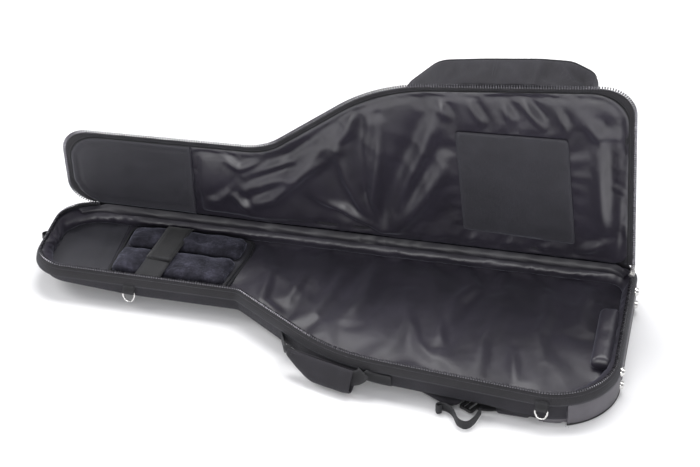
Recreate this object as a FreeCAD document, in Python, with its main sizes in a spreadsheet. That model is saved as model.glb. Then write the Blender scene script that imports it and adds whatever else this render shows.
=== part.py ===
import FreeCAD, Part
import math
import os

import Sketcher
from FreeCAD import Placement, Rotation, Vector

# Padded gig bag for an electric guitar, standing open on its back panel.
#
# Frame: +X runs from the headstock end to the tail end, +Y points to the hinge side, +Z is up.
# The origin is on the ground, under the upper back pad. Lengths are in millimetres.
# The lid is drawn closed, in a frame whose X axis is the hinge line, and is then turned open.

doc = FreeCAD.newDocument("GigBag")

# ---------------------------------------------------------------- driving dimensions

SIZES = [
    # body outline, measured on the zip's centre line
    ("head_x", -530, "headstock end"),
    ("tail_x", 525, "tail end"),
    ("head_near_y", -11, "near edge at the headstock end"),
    ("neck_root_x", -150, "where the neck meets the body"),
    ("neck_root_y", -17, "near edge at the neck root"),
    ("waist_x", 50, "where the near edge flattens out"),
    ("waist_y", -157, "near edge there"),
    ("tail_near_y", -210, "near edge at the tail end"),
    ("head_corner", 55, "corner radius, headstock end"),
    ("neck_corner", 25, "inside corner radius at the neck root"),
    ("waist_corner", 300, "radius of the upper bout"),
    ("tail_corner", 110, "corner radius, tail end"),
    ("hinge_corner", 22, "corner radius at the hinge, tail end"),
    ("hinge_head_corner", 60, "corner radius at the hinge, headstock end"),
    # the lid's outline pulls in a little from the tray's
    ("lid_head_x", -521, "lid's headstock end"),
    ("lid_head_y", 22, "lid's near edge at the headstock end"),
    ("lid_head_corner", 48, "lid's corner radius, headstock end"),
    ("lid_root_x", -143, "where the lid's neck meets its body"),
    ("lid_root_y", 12, "lid's near edge there"),
    ("lid_root_corner", 110, "radius of that bend"),
    ("lid_waist_x", 65, "where the lid's near edge flattens out"),
    ("lid_waist_y", -160, "lid's near edge there"),
    ("lid_tail_x", 506, "lid's near corner, tail end"),
    ("lid_tail_y", -211, "lid's near edge at the tail end"),
    ("lid_tail_corner", 52, "lid's corner radius, tail end"),
    ("lid_hinge_head_corner", 75, "lid's corner radius at the hinge, headstock end"),
    # hinge and lid attitude
    ("hinge_y", 190, "hinge line"),
    ("hinge_height", 66, "hinge line above the ground"),
    ("lid_open", 82, "lid angle from closed, degrees"),
    # tray build-up
    ("back_bottom", 14, "underside of the back panel"),
    ("cover", 2, "outer fabric with its backing"),
    ("lining", 1.5, "lining fabric"),
    ("floor_top", 28, "top of the back panel foam"),
    ("wall_top", 54, "top of the side wall"),
    ("wall_out", 8, "outer face of the side wall, from the zip line"),
    ("wall_in", 6, "inner face of the side wall foam, from the zip line"),
    ("gap", 0.4, "clearance between neighbouring layers"),
    ("guard_start", 455, "where the tail guard begins"),
    ("guard_thick", 1.5, "tail guard material"),
    ("guard_low", 1.5, "lower edge of the tail guard"),
    ("base_start", 412, "where the tail base pad begins"),
    ("piping", 1.5, "radius of the edge piping"),
    # zips
    ("teeth_half", 2, "half the width of the closed-side teeth"),
    ("teeth_high", 3, "height of one row of teeth"),
    ("tray_teeth", 62.6, "underside of the tray's teeth"),
    ("zip_end", 8, "distance from the hinge line to the end of the tray zip"),
    ("lid_zip_end", 34, "distance from the hinge line to the end of the lid zip"),
    ("tape", 16, "visible width of the lid's zip tape"),
    ("seam_cord", 0.4, "radius of the cord between the lid's tape and its lining"),
    # lid build-up, above the hinge plane while the lid is closed
    ("lid_edge", 12, "inset of the lid foam from the zip line"),
    ("lid_foam_low", 2.2, "inner face of the lid foam"),
    ("lid_foam_high", 18, "outer face of the lid foam"),
    ("lid_top", 20, "outer face of the lid"),
    ("patch_seam", -280, "seam between the headstock patch and the satin lining"),
    ("pocket_high", 78, "outer face of the accessory pocket"),
    ("pocket_head", 102, "pocket side facing the headstock"),
    ("pocket_tail", 438, "pocket side facing the tail"),
    ("pocket_low", 45, "pocket edge nearest the hinge"),
    # zip slider and pull
    ("slider_long", 16, "length of a slider"),
    ("slider_wide", 10, "width of a slider"),
    ("plate", 2, "thickness of the slider's plate"),
    ("lip", 2.4, "width of the slider's side lips"),
    ("slider_roof", 0.3, "clearance between the teeth and the plate"),
    ("slider_skirt", 1.9, "how far the lips reach down beside the teeth"),
    ("bridge_half", 4.5, "half the length of the slider's bridge"),
    ("bridge_high", 6.4, "top of the bridge above the teeth"),
    ("pull_long", 26, "length of a zip pull"),
    ("pull_wide", 7, "width of a zip pull"),
    ("pull_thick", 1.4, "thickness of a zip pull"),
    ("pull_axis", 4, "pull's pivot above the teeth"),
    ("tail_slider_y", 168, "parked slider at the tail end"),
    ("pocket_slider_d", 90, "parked pocket slider, from the hinge"),
    # neck cradle and cushions
    ("cradle_head", -402, "cradle's headstock end"),
    ("cradle_tail", -163, "cradle's tail end"),
    ("cradle_skew", 22, "how far the near tail corner is set back"),
    ("cradle_low", 29.9, "underside of the cradle"),
    ("cradle_high", 36, "top of the cradle's base"),
    ("pillow_high", 51, "top of the two neck pillows"),
    ("pillow_split", 95, "groove between the pillows"),
    ("strap_low", 53, "underside of the neck straps"),
    ("strap_thick", 2.5, "thickness of a neck strap"),
    ("neck_strap_wide", 46, "width of the neck straps"),
    ("end_cushion_high", 56, "top of the end-pin cushion"),
    # tail studs
    ("stud_head", 8.5, "radius of a stud's dome"),
    ("stud_proud", 8, "how far a stud stands out"),
    ("stud_shank", 2, "radius of a stud's shank"),
    ("stud_low", 16, "height of the lower studs"),
    ("stud_high", 44, "height of the upper studs"),
    ("stud_near", -90, "near pair of studs"),
    ("stud_far", 145, "far pair of studs"),
    # D-rings
    ("ring_wire", 1.8, "radius of the D-ring wire"),
    ("ring_half", 10.5, "half the length of the D-ring's bar"),
    ("ring_drop", 19, "depth of a D-ring"),
    ("ring_out", 5.2, "bar's distance from the side wall"),
    ("ring_height_head", 32, "height of the bar at the neck"),
    ("ring_height_tail", 38, "height of the bar at the tail"),
    ("ring_head_x", -349, "D-ring at the neck"),
    ("ring_tail_x", 416, "D-ring at the tail"),
    ("tab_wide", 22, "width of the webbing tab"),
    ("tab_high", 14, "height of the webbing tab"),
    # carrying handle
    ("handle_x", 34, "centre of the handle's hinge line"),
    ("handle_y", -160, "centre of the handle's hinge line"),
    ("handle_z", 46, "height of the handle's hinge line"),
    ("handle_yaw", -17, "direction of the hinge line, degrees"),
    ("handle_droop", 60, "how far the handle hangs below level, degrees"),
    ("wrap_long", 130, "length of the padded wrap"),
    ("wrap_near", 3, "wrap's near edge, from the hinge line"),
    ("wrap_far", 38, "wrap's far edge"),
    ("wrap_thick", 16, "thickness of the wrap"),
    ("webbing_thick", 3, "thickness of the handle webbing"),
    ("webbing_long", 156, "length of the handle webbing"),
    ("anchor_head_x", -55, "inner corner of the handle's headstock anchor"),
    ("anchor_head_y", -99, "the same corner, across the bag"),
    ("anchor_head_yaw", -73, "direction of that anchor, degrees"),
    ("anchor_head_high", 20, "height of that anchor"),
    ("anchor_tail_x", 110, "start of the handle's tail anchor"),
    ("anchor_tail_high", 24, "height of that anchor"),
    ("anchor_low", 18, "lower edge of both anchors"),
    ("anchor_thick", 3, "thickness of both anchors"),
    # shoulder straps and back pads
    ("pad_centre_y", 1, "centre line between the two shoulder straps"),
    ("shoulder_x", 48, "top end of each shoulder strap"),
    ("shoulder_y", 42, "its distance from the centre line"),
    ("shoulder_angle", 30, "how far each strap splays, degrees"),
    ("shoulder_long", 270, "length of a shoulder strap pad"),
    ("shoulder_wide", 62, "width of a shoulder strap pad"),
    ("shoulder_low", 2.5, "underside of a stowed shoulder strap"),
    ("shoulder_high", 12.5, "top of a stowed shoulder strap"),
    ("yoke_head", -110, "upper back pad, headstock side"),
    ("yoke_tail", 30, "upper back pad, tail side"),
    ("yoke_near", -36, "upper back pad, near side"),
    ("yoke_far", 170, "upper back pad, hinge side"),
    ("lumbar_head", 150, "lower back pad, headstock side"),
    ("lumbar_tail", 380, "lower back pad, tail side"),
    ("lumbar_near", -48, "lower back pad, near side"),
    ("lumbar_far", 56, "lower back pad, hinge side"),
    ("lock_long", 26, "length of a ladder lock"),
    ("lock_half", 16, "half the width of a ladder lock"),
    ("lock_thick", 5, "thickness of a ladder lock"),
    ("strap_webbing_half", 2, "half the thickness of the loose strap end"),
]

sheet = doc.addObject("Spreadsheet::Sheet", "size")
for row, (alias, number, meaning) in enumerate(SIZES, start=1):
    sheet.set("A%d" % row, meaning)
    sheet.set("B%d" % row, str(number))
    sheet.setAlias("B%d" % row, alias)
doc.recompute()

parts = []


# ---------------------------------------------------------------- helpers

def value(expression):
    """The number that an expression of sheet cells gives now."""
    return float(sheet.evalExpression(expression))


def plus(first, second):
    return "(%s) + (%s)" % (first, second)


def minus(first, second):
    return "(%s) - (%s)" % (first, second)


def part(item, placement=None):
    """Registers an object as one sub-part, named after its file."""
    item.Label = item.Name
    if placement:
        item.setExpression("Placement", placement)
    parts.append(item)
    return item


def place(x, y, z, axis=(0, 0, 1), angle="0"):
    return "placement(vector(%s; %s; %s); rotation(vector(%g; %g; %g); %s))" % ((x, y, z) + axis + (angle,))


LID = place("0", "size.hinge_y", "size.hinge_height", (-1, 0, 0), "size.lid_open")


def tangent_points(before, corner, after, radius):
    """Where a round corner leaves its two edges, and the centre of its arc."""
    back = (before - corner).normalize()
    ahead = (after - corner).normalize()
    half = back.getAngle(ahead) / 2
    reach = radius / math.tan(half)
    bisector = (back + ahead).normalize()
    centre = corner + bisector * (radius / math.sin(half))
    return corner + back * reach, corner + ahead * reach, centre


def fix_point(sketch, geometry, position, corner):
    """Binds one point of a sketch to a pair of cell expressions."""
    for kind, axis, expression in (("DistanceX", -2, corner[0]), ("DistanceY", -1, corner[1])):
        if expression == "0":
            sketch.addConstraint(Sketcher.Constraint("PointOnObject", geometry, position, axis))
        else:
            index = sketch.addConstraint(
                Sketcher.Constraint(kind, -1, 1, geometry, position, value(expression)))
            sketch.setExpression("Constraints[%d]" % index, expression)


def draw_outline(sketch, corners, closed=True):
    """Draws a fully constrained outline through (x, y) or (x, y, radius) corners."""
    spots = [Vector(value(corner[0]), value(corner[1]), 0) for corner in corners]
    count = len(spots)
    leave = list(spots)
    arrive = list(spots)
    centres = [None] * count
    for i, corner in enumerate(corners):
        if len(corner) == 3:
            arrive[i], leave[i], centres[i] = tangent_points(
                spots[i - 1], spots[i], spots[(i + 1) % count], value(corner[2]))
    edges = [(i, (i + 1) % count) for i in range(count if closed else count - 1)]
    lines = [sketch.addGeometry(Part.LineSegment(leave[a], arrive[b]), False) for a, b in edges]
    for i, corner in enumerate(corners):
        line_in = lines[i - 1] if closed or i > 0 else None
        line_out = lines[i] if i < len(lines) else None
        if centres[i] is None:
            fix_point(sketch, *((line_out, 1) if line_out is not None else (line_in, 2)), corner)
            if line_in is not None and line_out is not None:
                sketch.addConstraint(Sketcher.Constraint("Coincident", line_in, 2, line_out, 1))
            continue
        radius = value(corner[2])
        turn = (spots[i] - spots[i - 1]).cross(spots[(i + 1) % count] - spots[i]).z
        first, last = (arrive[i], leave[i]) if turn > 0 else (leave[i], arrive[i])
        angles = [math.atan2(p.y - centres[i].y, p.x - centres[i].x) for p in (first, last)]
        circle = Part.Circle(centres[i], Vector(0, 0, 1), radius)
        arc = sketch.addGeometry(Part.ArcOfCircle(circle, *angles), False)
        start, end = (1, 2) if turn > 0 else (2, 1)
        vertex = sketch.addGeometry(Part.Point(spots[i]), True)
        fix_point(sketch, vertex, 1, corner)
        sketch.addConstraint(Sketcher.Constraint("PointOnObject", vertex, 1, line_in))
        sketch.addConstraint(Sketcher.Constraint("PointOnObject", vertex, 1, line_out))
        sketch.addConstraint(Sketcher.Constraint("Tangent", line_in, 2, arc, start))
        sketch.addConstraint(Sketcher.Constraint("Tangent", line_out, 1, arc, end))
        index = sketch.addConstraint(Sketcher.Constraint("Radius", arc, radius))
        sketch.setExpression("Constraints[%d]" % index, corner[2])
    return sketch


def flat_sketch(name, corners, closed=True):
    return draw_outline(doc.addObject("Sketcher::SketchObject", name), corners, closed)


def offset(name, source, distance, filled=False):
    """A copy of a closed outline moved outwards, or the band between the two."""
    item = doc.addObject("Part::Offset2D", name)
    item.Source = source
    item.Mode = "Skin"
    item.Join = "Arc"
    item.Fill = filled
    item.setExpression("Value", distance)
    return item


def extrude(name, base, bottom, top):
    item = doc.addObject("Part::Extrusion", name)
    item.Base = base
    item.DirMode = "Custom"
    item.Dir = Vector(0, 0, 1)
    item.Solid = True
    item.setExpression("LengthFwd", top)
    item.setExpression("LengthRev", "-(%s)" % bottom)
    return item


def layer(name, outline, distance, bottom, top):
    """A flat layer that follows an outline at a distance."""
    return extrude(name, offset(name + "_edge", outline, distance), bottom, top)


def band(name, outline, inner, outer, bottom, top):
    """An upright band between two distances from an outline."""
    inside = offset(name + "_inner", outline, inner)
    ring = offset(name + "_ring", inside, minus(outer, inner), filled=True)
    return extrude(name, ring, bottom, top)


def box(name, low, high, at=None):
    """A box between two corners given as expressions, in its own frame or the bag's."""
    item = doc.addObject("Part::Box", name)
    for prop, a, b in zip(("Length", "Width", "Height"), low, high):
        item.setExpression(prop, minus(b, a))
    item.setExpression("Placement", (at + " * " if at else "") + place(*low))
    return item


def boolean(kind, name, base, tool):
    item = doc.addObject("Part::" + kind, name)
    item.Base = base
    item.Tool = tool
    return item


def along(name, path, profile_corners=None, circle=None):
    """Sweeps a small profile along an outline.

    The profile is drawn with its first axis pointing away from the bag and its second
    one up, square to the path at the path's first point.
    """
    profile = doc.addObject("Sketcher::SketchObject", name + "_profile")
    if circle:
        centre_u, centre_v, radius = circle
        ring = Part.Circle(Vector(value(centre_u), value(centre_v), 0), Vector(0, 0, 1), value(radius))
        index = profile.addGeometry(ring, False)
        fix_point(profile, index, 3, (centre_u, centre_v))
        constraint = profile.addConstraint(Sketcher.Constraint("Radius", index, value(radius)))
        profile.setExpression("Constraints[%d]" % constraint, radius)
    else:
        draw_outline(profile, profile_corners)
    doc.recompute()
    first = path.Shape.Edges[0]
    start = first.valueAt(first.FirstParameter)
    ahead = first.tangentAt(first.FirstParameter)
    outwards = Vector(ahead.y, -ahead.x, 0)
    profile.Placement = Placement(start, Rotation(outwards, Vector(0, 0, 1), ahead.negative()))
    item = doc.addObject("Part::Sweep", name)
    item.Sections = [profile]
    item.Spine = (path, ["Edge%d" % (i + 1) for i in range(len(path.Shape.Edges))])
    item.Solid = True
    item.Frenet = False
    item.Transition = "Right corner"
    return item


def body_plane(body, role):
    return next(item for item in body.Origin.OriginFeatures if item.Role == role)


def body_sketch(body, name, role="XY_Plane", height=None):
    sketch = body.newObject("Sketcher::SketchObject", name)
    sketch.AttachmentSupport = (body_plane(body, role), [""])
    sketch.MapMode = "FlatFace"
    if height:
        sketch.setExpression("AttachmentOffset.Base.z", height)
    return sketch


def pad_on(body, name, sketch, length, both_ways=False):
    pad = body.newObject("PartDesign::Pad", name)
    pad.Profile = sketch
    pad.setExpression("Length", length)
    pad.Midplane = both_ways
    return pad


def pocket_on(body, name, sketch, length, reverse=False, both_ways=False):
    """Cuts a pocket and makes sure that it removed something."""
    doc.recompute()
    before = body.Shape.Volume
    pocket = body.newObject("PartDesign::Pocket", name)
    pocket.Profile = sketch
    pocket.setExpression("Length", length)
    pocket.Reversed = reverse
    pocket.Midplane = both_ways
    doc.recompute()
    if body.Shape.Volume > before - 0.01:
        raise RuntimeError("%s cuts nothing" % name)
    return pocket


def fillet_top(body, base, radius):
    """Rounds the edges of a pad's upper face."""
    doc.recompute()
    faces = base.Shape.Faces
    top = max(range(len(faces)), key=lambda i: faces[i].CenterOfMass.z)
    fillet = body.newObject("PartDesign::Fillet", base.Name + "_round")
    fillet.Base = (base, ["Face%d" % (top + 1)])
    fillet.setExpression("Radius", radius)
    return fillet


def slab(name, corners, bottom, top, radius=None, placement=None):
    """A flat piece with its own outline, as a body with one pad."""
    body = doc.addObject("PartDesign::Body", name)
    sketch = draw_outline(body_sketch(body, name + "_outline", height=bottom), corners)
    pad = pad_on(body, name + "_pad", sketch, minus(top, bottom))
    if radius:
        fillet_top(body, pad, radius)
    return part(body, placement)


def wall_y(x, first, second):
    """Y of the straight zip line between two named corners, at one X."""
    a_x, a_y, b_x, b_y = ("size." + key for key in (
        first[0], first[1], second[0], second[1]))
    return "(%s + (%s - %s) * (%s - %s) / (%s - %s))" % (a_y, x, a_x, b_y, a_y, b_x, a_x)


def wall_angle(first, second):
    """Direction of that line, in degrees."""
    return "atan((size.%s - size.%s) / (size.%s - size.%s))" % (second[1], first[1], second[0], first[0])


# ---------------------------------------------------------------- outlines

NECK_LINE = (("head_x", "head_near_y"), ("neck_root_x", "neck_root_y"))
BODY_LINE = (("waist_x", "waist_y"), ("tail_x", "tail_near_y"))


TRAY_CORNERS = [
    ("size.head_x", "size.head_near_y", "size.head_corner"),
    ("size.neck_root_x", "size.neck_root_y", "size.neck_corner"),
    ("size.waist_x", "size.waist_y", "size.waist_corner"),
    ("size.tail_x", "size.tail_near_y", "size.tail_corner")]
LID_CORNERS = [
    ("size.lid_head_x", "size.lid_head_y - size.hinge_y", "size.lid_head_corner"),
    ("size.lid_root_x", "size.lid_root_y - size.hinge_y", "size.lid_root_corner"),
    ("size.lid_waist_x", "size.lid_waist_y - size.hinge_y", "size.waist_corner"),
    ("size.lid_tail_x", "size.lid_tail_y - size.hinge_y", "size.lid_tail_corner")]


def filled(sketch):
    """The face inside a closed outline."""
    face = doc.addObject("Part::Face", sketch.Name + "_face")
    face.Sources = [sketch]
    return face


def bag_outline(name, corners, hinge_line, head_x, radius):
    return filled(flat_sketch(name, [(head_x, hinge_line, radius)]
                              + corners + [("size.tail_x", hinge_line, "size.hinge_corner")]))


def zip_path(name, corners, hinge_line, head_x, radius, end):
    """The open run of the zip; at the headstock end it follows the corner almost to the hinge."""
    # a 45 degree chord that touches the middle of the corner's arc
    chord = "%s * (2 - sqrt(2))" % radius
    return flat_sketch(name, [
        ("%s + %s - size.zip_end" % (head_x, chord), hinge_line + " - size.zip_end"),
        (head_x, hinge_line + " - " + chord, radius)]
        + corners + [("size.tail_x", "%s - %s" % (hinge_line, end))], closed=False)


TRAY_HEAD = ("size.hinge_y", "size.head_x", "size.hinge_head_corner")
LID_HEAD = ("0", "size.lid_head_x", "size.lid_hinge_head_corner")
tray_outline = bag_outline("tray_outline", TRAY_CORNERS, *TRAY_HEAD)
tray_path = zip_path("tray_path", TRAY_CORNERS, *TRAY_HEAD, "size.zip_end")
lid_outline = bag_outline("lid_outline", LID_CORNERS, *LID_HEAD)
lid_path = zip_path("lid_path", LID_CORNERS, *LID_HEAD, "size.lid_zip_end")
doc.recompute()

FAR = "900"


def only_between(name, item, low_x, high_x):
    """Keeps the stretch of an item between two X values."""
    window = box(name + "_window", (low_x, "-" + FAR, "-" + FAR), (high_x, FAR, FAR))
    return boolean("Common", name, item, window)


# ---------------------------------------------------------------- tray

def make_tray():
    floor = "size.back_bottom + size.cover"
    inner = "-size.wall_in"
    skin = "size.wall_out - size.cover"
    part(layer("back_panel_cover", tray_outline, "size.wall_out - 1", "size.back_bottom", floor))
    part(layer("back_panel_foam", tray_outline, "-size.wall_in - size.cover", floor, "size.floor_top"))
    part(band("side_wall_cover", tray_outline, skin, "size.wall_out", floor, "size.wall_top"))
    part(band("side_wall_foam", tray_outline, inner, skin, floor, "size.wall_top"))
    part(band("side_wall_lining", tray_outline, "-size.wall_in - size.lining", inner,
              floor, "size.wall_top"))
    # the floor's satin lining stops where the smooth headstock patch begins
    lining = ("size.floor_top + 0.2", "size.floor_top + 0.2 + size.lining")
    inset = "-size.wall_in - size.cover - size.gap"
    satin = layer("floor_lining_sheet", tray_outline, inset, *lining)
    part(only_between("floor_lining", satin, "size.cradle_head - 3 + size.gap", FAR))
    smooth = layer("headstock_patch_sheet", tray_outline, inset, *lining)
    part(only_between("headstock_floor_patch", smooth, "-" + FAR, "size.cradle_head - 3"))
    # piping where the side wall meets the back panel, and lower down round the tail
    cord = along("wall_piping", tray_path, circle=(
        "size.wall_out + size.piping", "size.back_bottom + 1", "size.piping"))
    part(only_between("bottom_piping", cord, "-" + FAR, "size.base_start"))
    guard_face = "size.wall_out + 0.1 + size.guard_thick"
    cord = along("guard_piping", tray_path, circle=(
        guard_face + " + 0.1 + size.piping", "size.guard_low + size.piping", "size.piping"))
    part(only_between("tail_piping", cord, "size.guard_start", FAR))
    # leather-look guard round the tail, and the pad that carries the tail end
    guard = band("tail_guard_band", tray_outline, "size.wall_out + 0.1", guard_face,
                 "size.guard_low", "size.wall_top")
    part(only_between("tail_guard", guard, "size.guard_start", FAR))
    base = layer("tail_base_sheet", tray_outline, "size.wall_in", "0", "size.back_bottom")
    part(only_between("tail_base_pad", base, "size.base_start", FAR))


def make_tray_zip():
    """The zip tape leans inwards from the top of the wall and carries the row of teeth."""
    foot = "size.wall_top + 0.2"
    head = "size.tray_teeth - 0.1"
    part(along("tray_zip_tape", tray_path, [
        ("size.wall_out", foot), ("size.teeth_half - 0.4", head),
        ("size.teeth_half - 1.6", head), ("size.wall_out - 1.2", foot)]))
    part(along("tray_zip_teeth", tray_path, teeth_profile("size.tray_teeth")))
    part(box("hinge_strip",
             ("size.head_x + size.hinge_head_corner", "size.hinge_y + 5", foot),
             ("size.tail_x - size.hinge_corner", "size.hinge_y + 6.2", "size.hinge_height - 1")))


def teeth_profile(bottom):
    top = plus(bottom, "size.teeth_high")
    return [("-size.teeth_half", bottom), ("size.teeth_half", bottom),
            ("size.teeth_half", top), ("-size.teeth_half", top)]


def make_cushions():
    """Neck cradle with two pillows, and the cushion that meets the end pin."""
    slab("neck_cradle_base", [
        ("size.cradle_head", "6", "12"),
        ("size.cradle_tail - size.cradle_skew", "4", "10"),
        ("size.cradle_tail", "125", "10"),
        ("size.cradle_tail - 3", "168", "10"),
        ("size.cradle_head + 6", "168", "12")], "size.cradle_low", "size.cradle_high")
    low = "size.cradle_high + 0.2"
    slab("neck_pillow_near", [
        ("size.cradle_head + 3", "14", "14"),
        ("size.cradle_tail - size.cradle_skew - 4", "12", "14"),
        ("size.cradle_tail - size.cradle_skew + 8", "size.pillow_split - 2", "14"),
        ("size.cradle_head + 9", "size.pillow_split - 2", "14")], low, "size.pillow_high", "6")
    slab("neck_pillow_far", [
        ("size.cradle_head + 12", "size.pillow_split + 2", "14"),
        ("size.cradle_tail - 14", "size.pillow_split + 2", "14"),
        ("size.cradle_tail - 9", "160", "14"),
        ("size.cradle_head + 14", "160", "14")], low, "size.pillow_high", "6")
    slab("end_pin_cushion", [
        ("479", "-82", "10"), ("size.tail_x - size.wall_in - size.lining - 1", "-82", "6"),
        ("size.tail_x - size.wall_in - size.lining - 1", "78", "6"), ("479", "78", "10")],
        "size.cradle_low", "size.end_cushion_high", "5")


def make_neck_straps():
    """Two hook-and-loop straps that meet over the pillows; each lifts from its outer end."""
    low = "size.strap_low"
    high = "size.strap_low + size.strap_thick"
    for name, head, near, far in (("neck_strap_near", -342, 1, 62), ("neck_strap_far", -334, 65, 154)):
        tail = "%d + size.neck_strap_wide" % head
        lean = "%g" % (0.12 * (far - near))
        slab(name, [(str(head), str(near)), (tail, str(near)),
                    (plus(tail, lean), str(far)), ("%d + %s" % (head, lean), str(far))], low, high)


def make_stud(name, at):
    stud = doc.addObject("PartDesign::Body", name)
    section = draw_outline(body_sketch(stud, name + "_section"), [
        ("0", "-2.5"), ("size.stud_shank", "-2.5"), ("size.stud_shank", "0"),
        ("size.stud_head", "0"), ("size.stud_head", "1.5"),
        ("size.stud_head * 0.72", "size.stud_proud * 0.8"), ("0", "size.stud_proud")])
    turn = stud.newObject("PartDesign::Revolution", name + "_turn")
    turn.Profile = section
    turn.ReferenceAxis = (section, ["V_Axis"])
    turn.Angle = 360
    stud.setExpression("Placement", at)
    return stud


def make_studs():
    """Four domed studs riveted to the tail guard, as one group."""
    face = "size.tail_x + size.wall_out + 0.1 + size.guard_thick"
    group = doc.addObject("Part::Compound", "tail_studs")
    group.Links = [
        make_stud("stud_%s_%s" % (side, level),
                  place(face, "size.stud_" + side, "size.stud_" + level, angle="-90"))
        for side in ("near", "far") for level in ("low", "high")]
    part(group)


def d_ring_outline():
    half, drop = "size.ring_half", "size.ring_drop"
    return [("0", "0"), (half, "0", "3"), (half, "-%s * 0.45" % drop, "7"),
            ("%s * 0.55" % half, "-" + drop, "7"), ("-%s * 0.55" % half, "-" + drop, "7"),
            ("-" + half, "-%s * 0.45" % drop, "7"), ("-" + half, "0", "3")]


def make_d_ring(end, x, line):
    """A D-ring that hangs from a webbing tab stitched to the side wall."""
    turn = wall_angle(*line)
    rise = "cos(%s)" % turn
    out = "(size.wall_out + size.ring_out) / " + rise
    at = place(x, minus(wall_y(x, *line), out), "size.ring_height_" + end, angle=turn)
    ring = doc.addObject("PartDesign::Body", "d_ring_" + end)
    spine = draw_outline(body_sketch(ring, "ring_path_" + end, "XZ_Plane"), d_ring_outline())
    section = body_sketch(ring, "ring_wire_" + end, "YZ_Plane")
    circle = section.addGeometry(Part.Circle(Vector(), Vector(0, 0, 1), value("size.ring_wire")), False)
    section.addConstraint(Sketcher.Constraint("Coincident", circle, 3, -1, 1))
    index = section.addConstraint(Sketcher.Constraint("Radius", circle, value("size.ring_wire")))
    section.setExpression("Constraints[%d]" % index, "size.ring_wire")
    doc.recompute()
    pipe = ring.newObject("PartDesign::AdditivePipe", "ring_pipe_" + end)
    pipe.Profile = section
    pipe.Spine = (spine, ["Edge%d" % (i + 1) for i in range(len(spine.Shape.Edges))])
    part(ring, at)
    # the tab: a flat of webbing with a sleeve round the ring's bar
    sleeve = "size.ring_wire + 1.6"
    bore = "size.ring_wire + 0.3"
    gap = "size.ring_out - 0.2"
    flat = box("tab_flat_" + end, ("-size.tab_wide / 2", minus(gap, "3"), "0"),
               ("size.tab_wide / 2", gap, "size.tab_high"))
    tube = x_cylinder("tab_sleeve_" + end, sleeve, "size.ring_half * 1.4")
    hole = x_cylinder("tab_bore_" + end, bore, "size.tab_wide * 2")
    joined = boolean("Fuse", "tab_joined_" + end, flat, tube)
    part(boolean("Cut", "d_ring_tab_" + end, joined, hole), at)


def x_cylinder(name, radius, length):
    item = doc.addObject("Part::Cylinder", name)
    item.setExpression("Radius", radius)
    item.setExpression("Height", length)
    item.setExpression("Placement", place("-(%s) / 2" % length, "0", "0", (0, 1, 0), "90"))
    return item


def make_handle():
    """A webbing handle with a padded wrap, hanging from two stitched anchors."""
    at = (place("size.handle_x", "size.handle_y", "size.handle_z", angle="size.handle_yaw")
          + " * " + place("0", "0", "0", (1, 0, 0), "size.handle_droop"))
    middle = "(size.wrap_near + size.wrap_far) / 2"
    wrap = doc.addObject("PartDesign::Body", "handle_wrap")
    section = draw_outline(body_sketch(wrap, "wrap_section", "YZ_Plane"), [
        ("-size.wrap_far", "-size.wrap_thick / 2", "7"), ("-size.wrap_near", "-size.wrap_thick / 2", "7"),
        ("-size.wrap_near", "size.wrap_thick / 2", "7"), ("-size.wrap_far", "size.wrap_thick / 2", "7")])
    pad_on(wrap, "wrap_pad", section, "size.wrap_long", both_ways=True)
    slot = draw_outline(body_sketch(wrap, "wrap_slot", "YZ_Plane"), rectangle(
        "-%s - 14" % middle, "-%s + 14" % middle, "-size.webbing_thick / 2 - 0.3",
        "size.webbing_thick / 2 + 0.3"))
    pocket_on(wrap, "wrap_opening", slot, "size.wrap_long + 10", both_ways=True)
    part(wrap, at)
    part(box("handle_webbing",
             ("-size.webbing_long / 2", "-%s - 13" % middle, "-size.webbing_thick / 2"),
             ("size.webbing_long / 2", "-%s + 13" % middle, "size.webbing_thick / 2"), at))
    # anchors: folded webbing that stands out of the side wall at each end
    part(box("handle_anchor_head", ("0", "0", "0"), ("42", "size.anchor_thick", "size.anchor_head_high"),
             place("size.anchor_head_x", "size.anchor_head_y", "size.anchor_low",
                   angle="size.anchor_head_yaw")))
    wall = minus(wall_y("size.anchor_tail_x", *BODY_LINE), "size.wall_out * 1.06")
    part(box("handle_anchor_tail", ("0", "-size.anchor_thick", "0"), ("46", "0", "size.anchor_tail_high"),
             place("size.anchor_tail_x", wall, "size.anchor_low", angle=wall_angle(*BODY_LINE))))


def rectangle(low_u, high_u, low_v, high_v):
    return [(low_u, low_v), (high_u, low_v), (high_u, high_v), (low_u, high_v)]


def across(corners, sign):
    """Near-side corners as they are, or mirrored to the far side."""
    placed = [(x, "%g" % (sign * y)) for x, y in corners]
    return placed if sign < 0 else placed[::-1]


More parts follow.
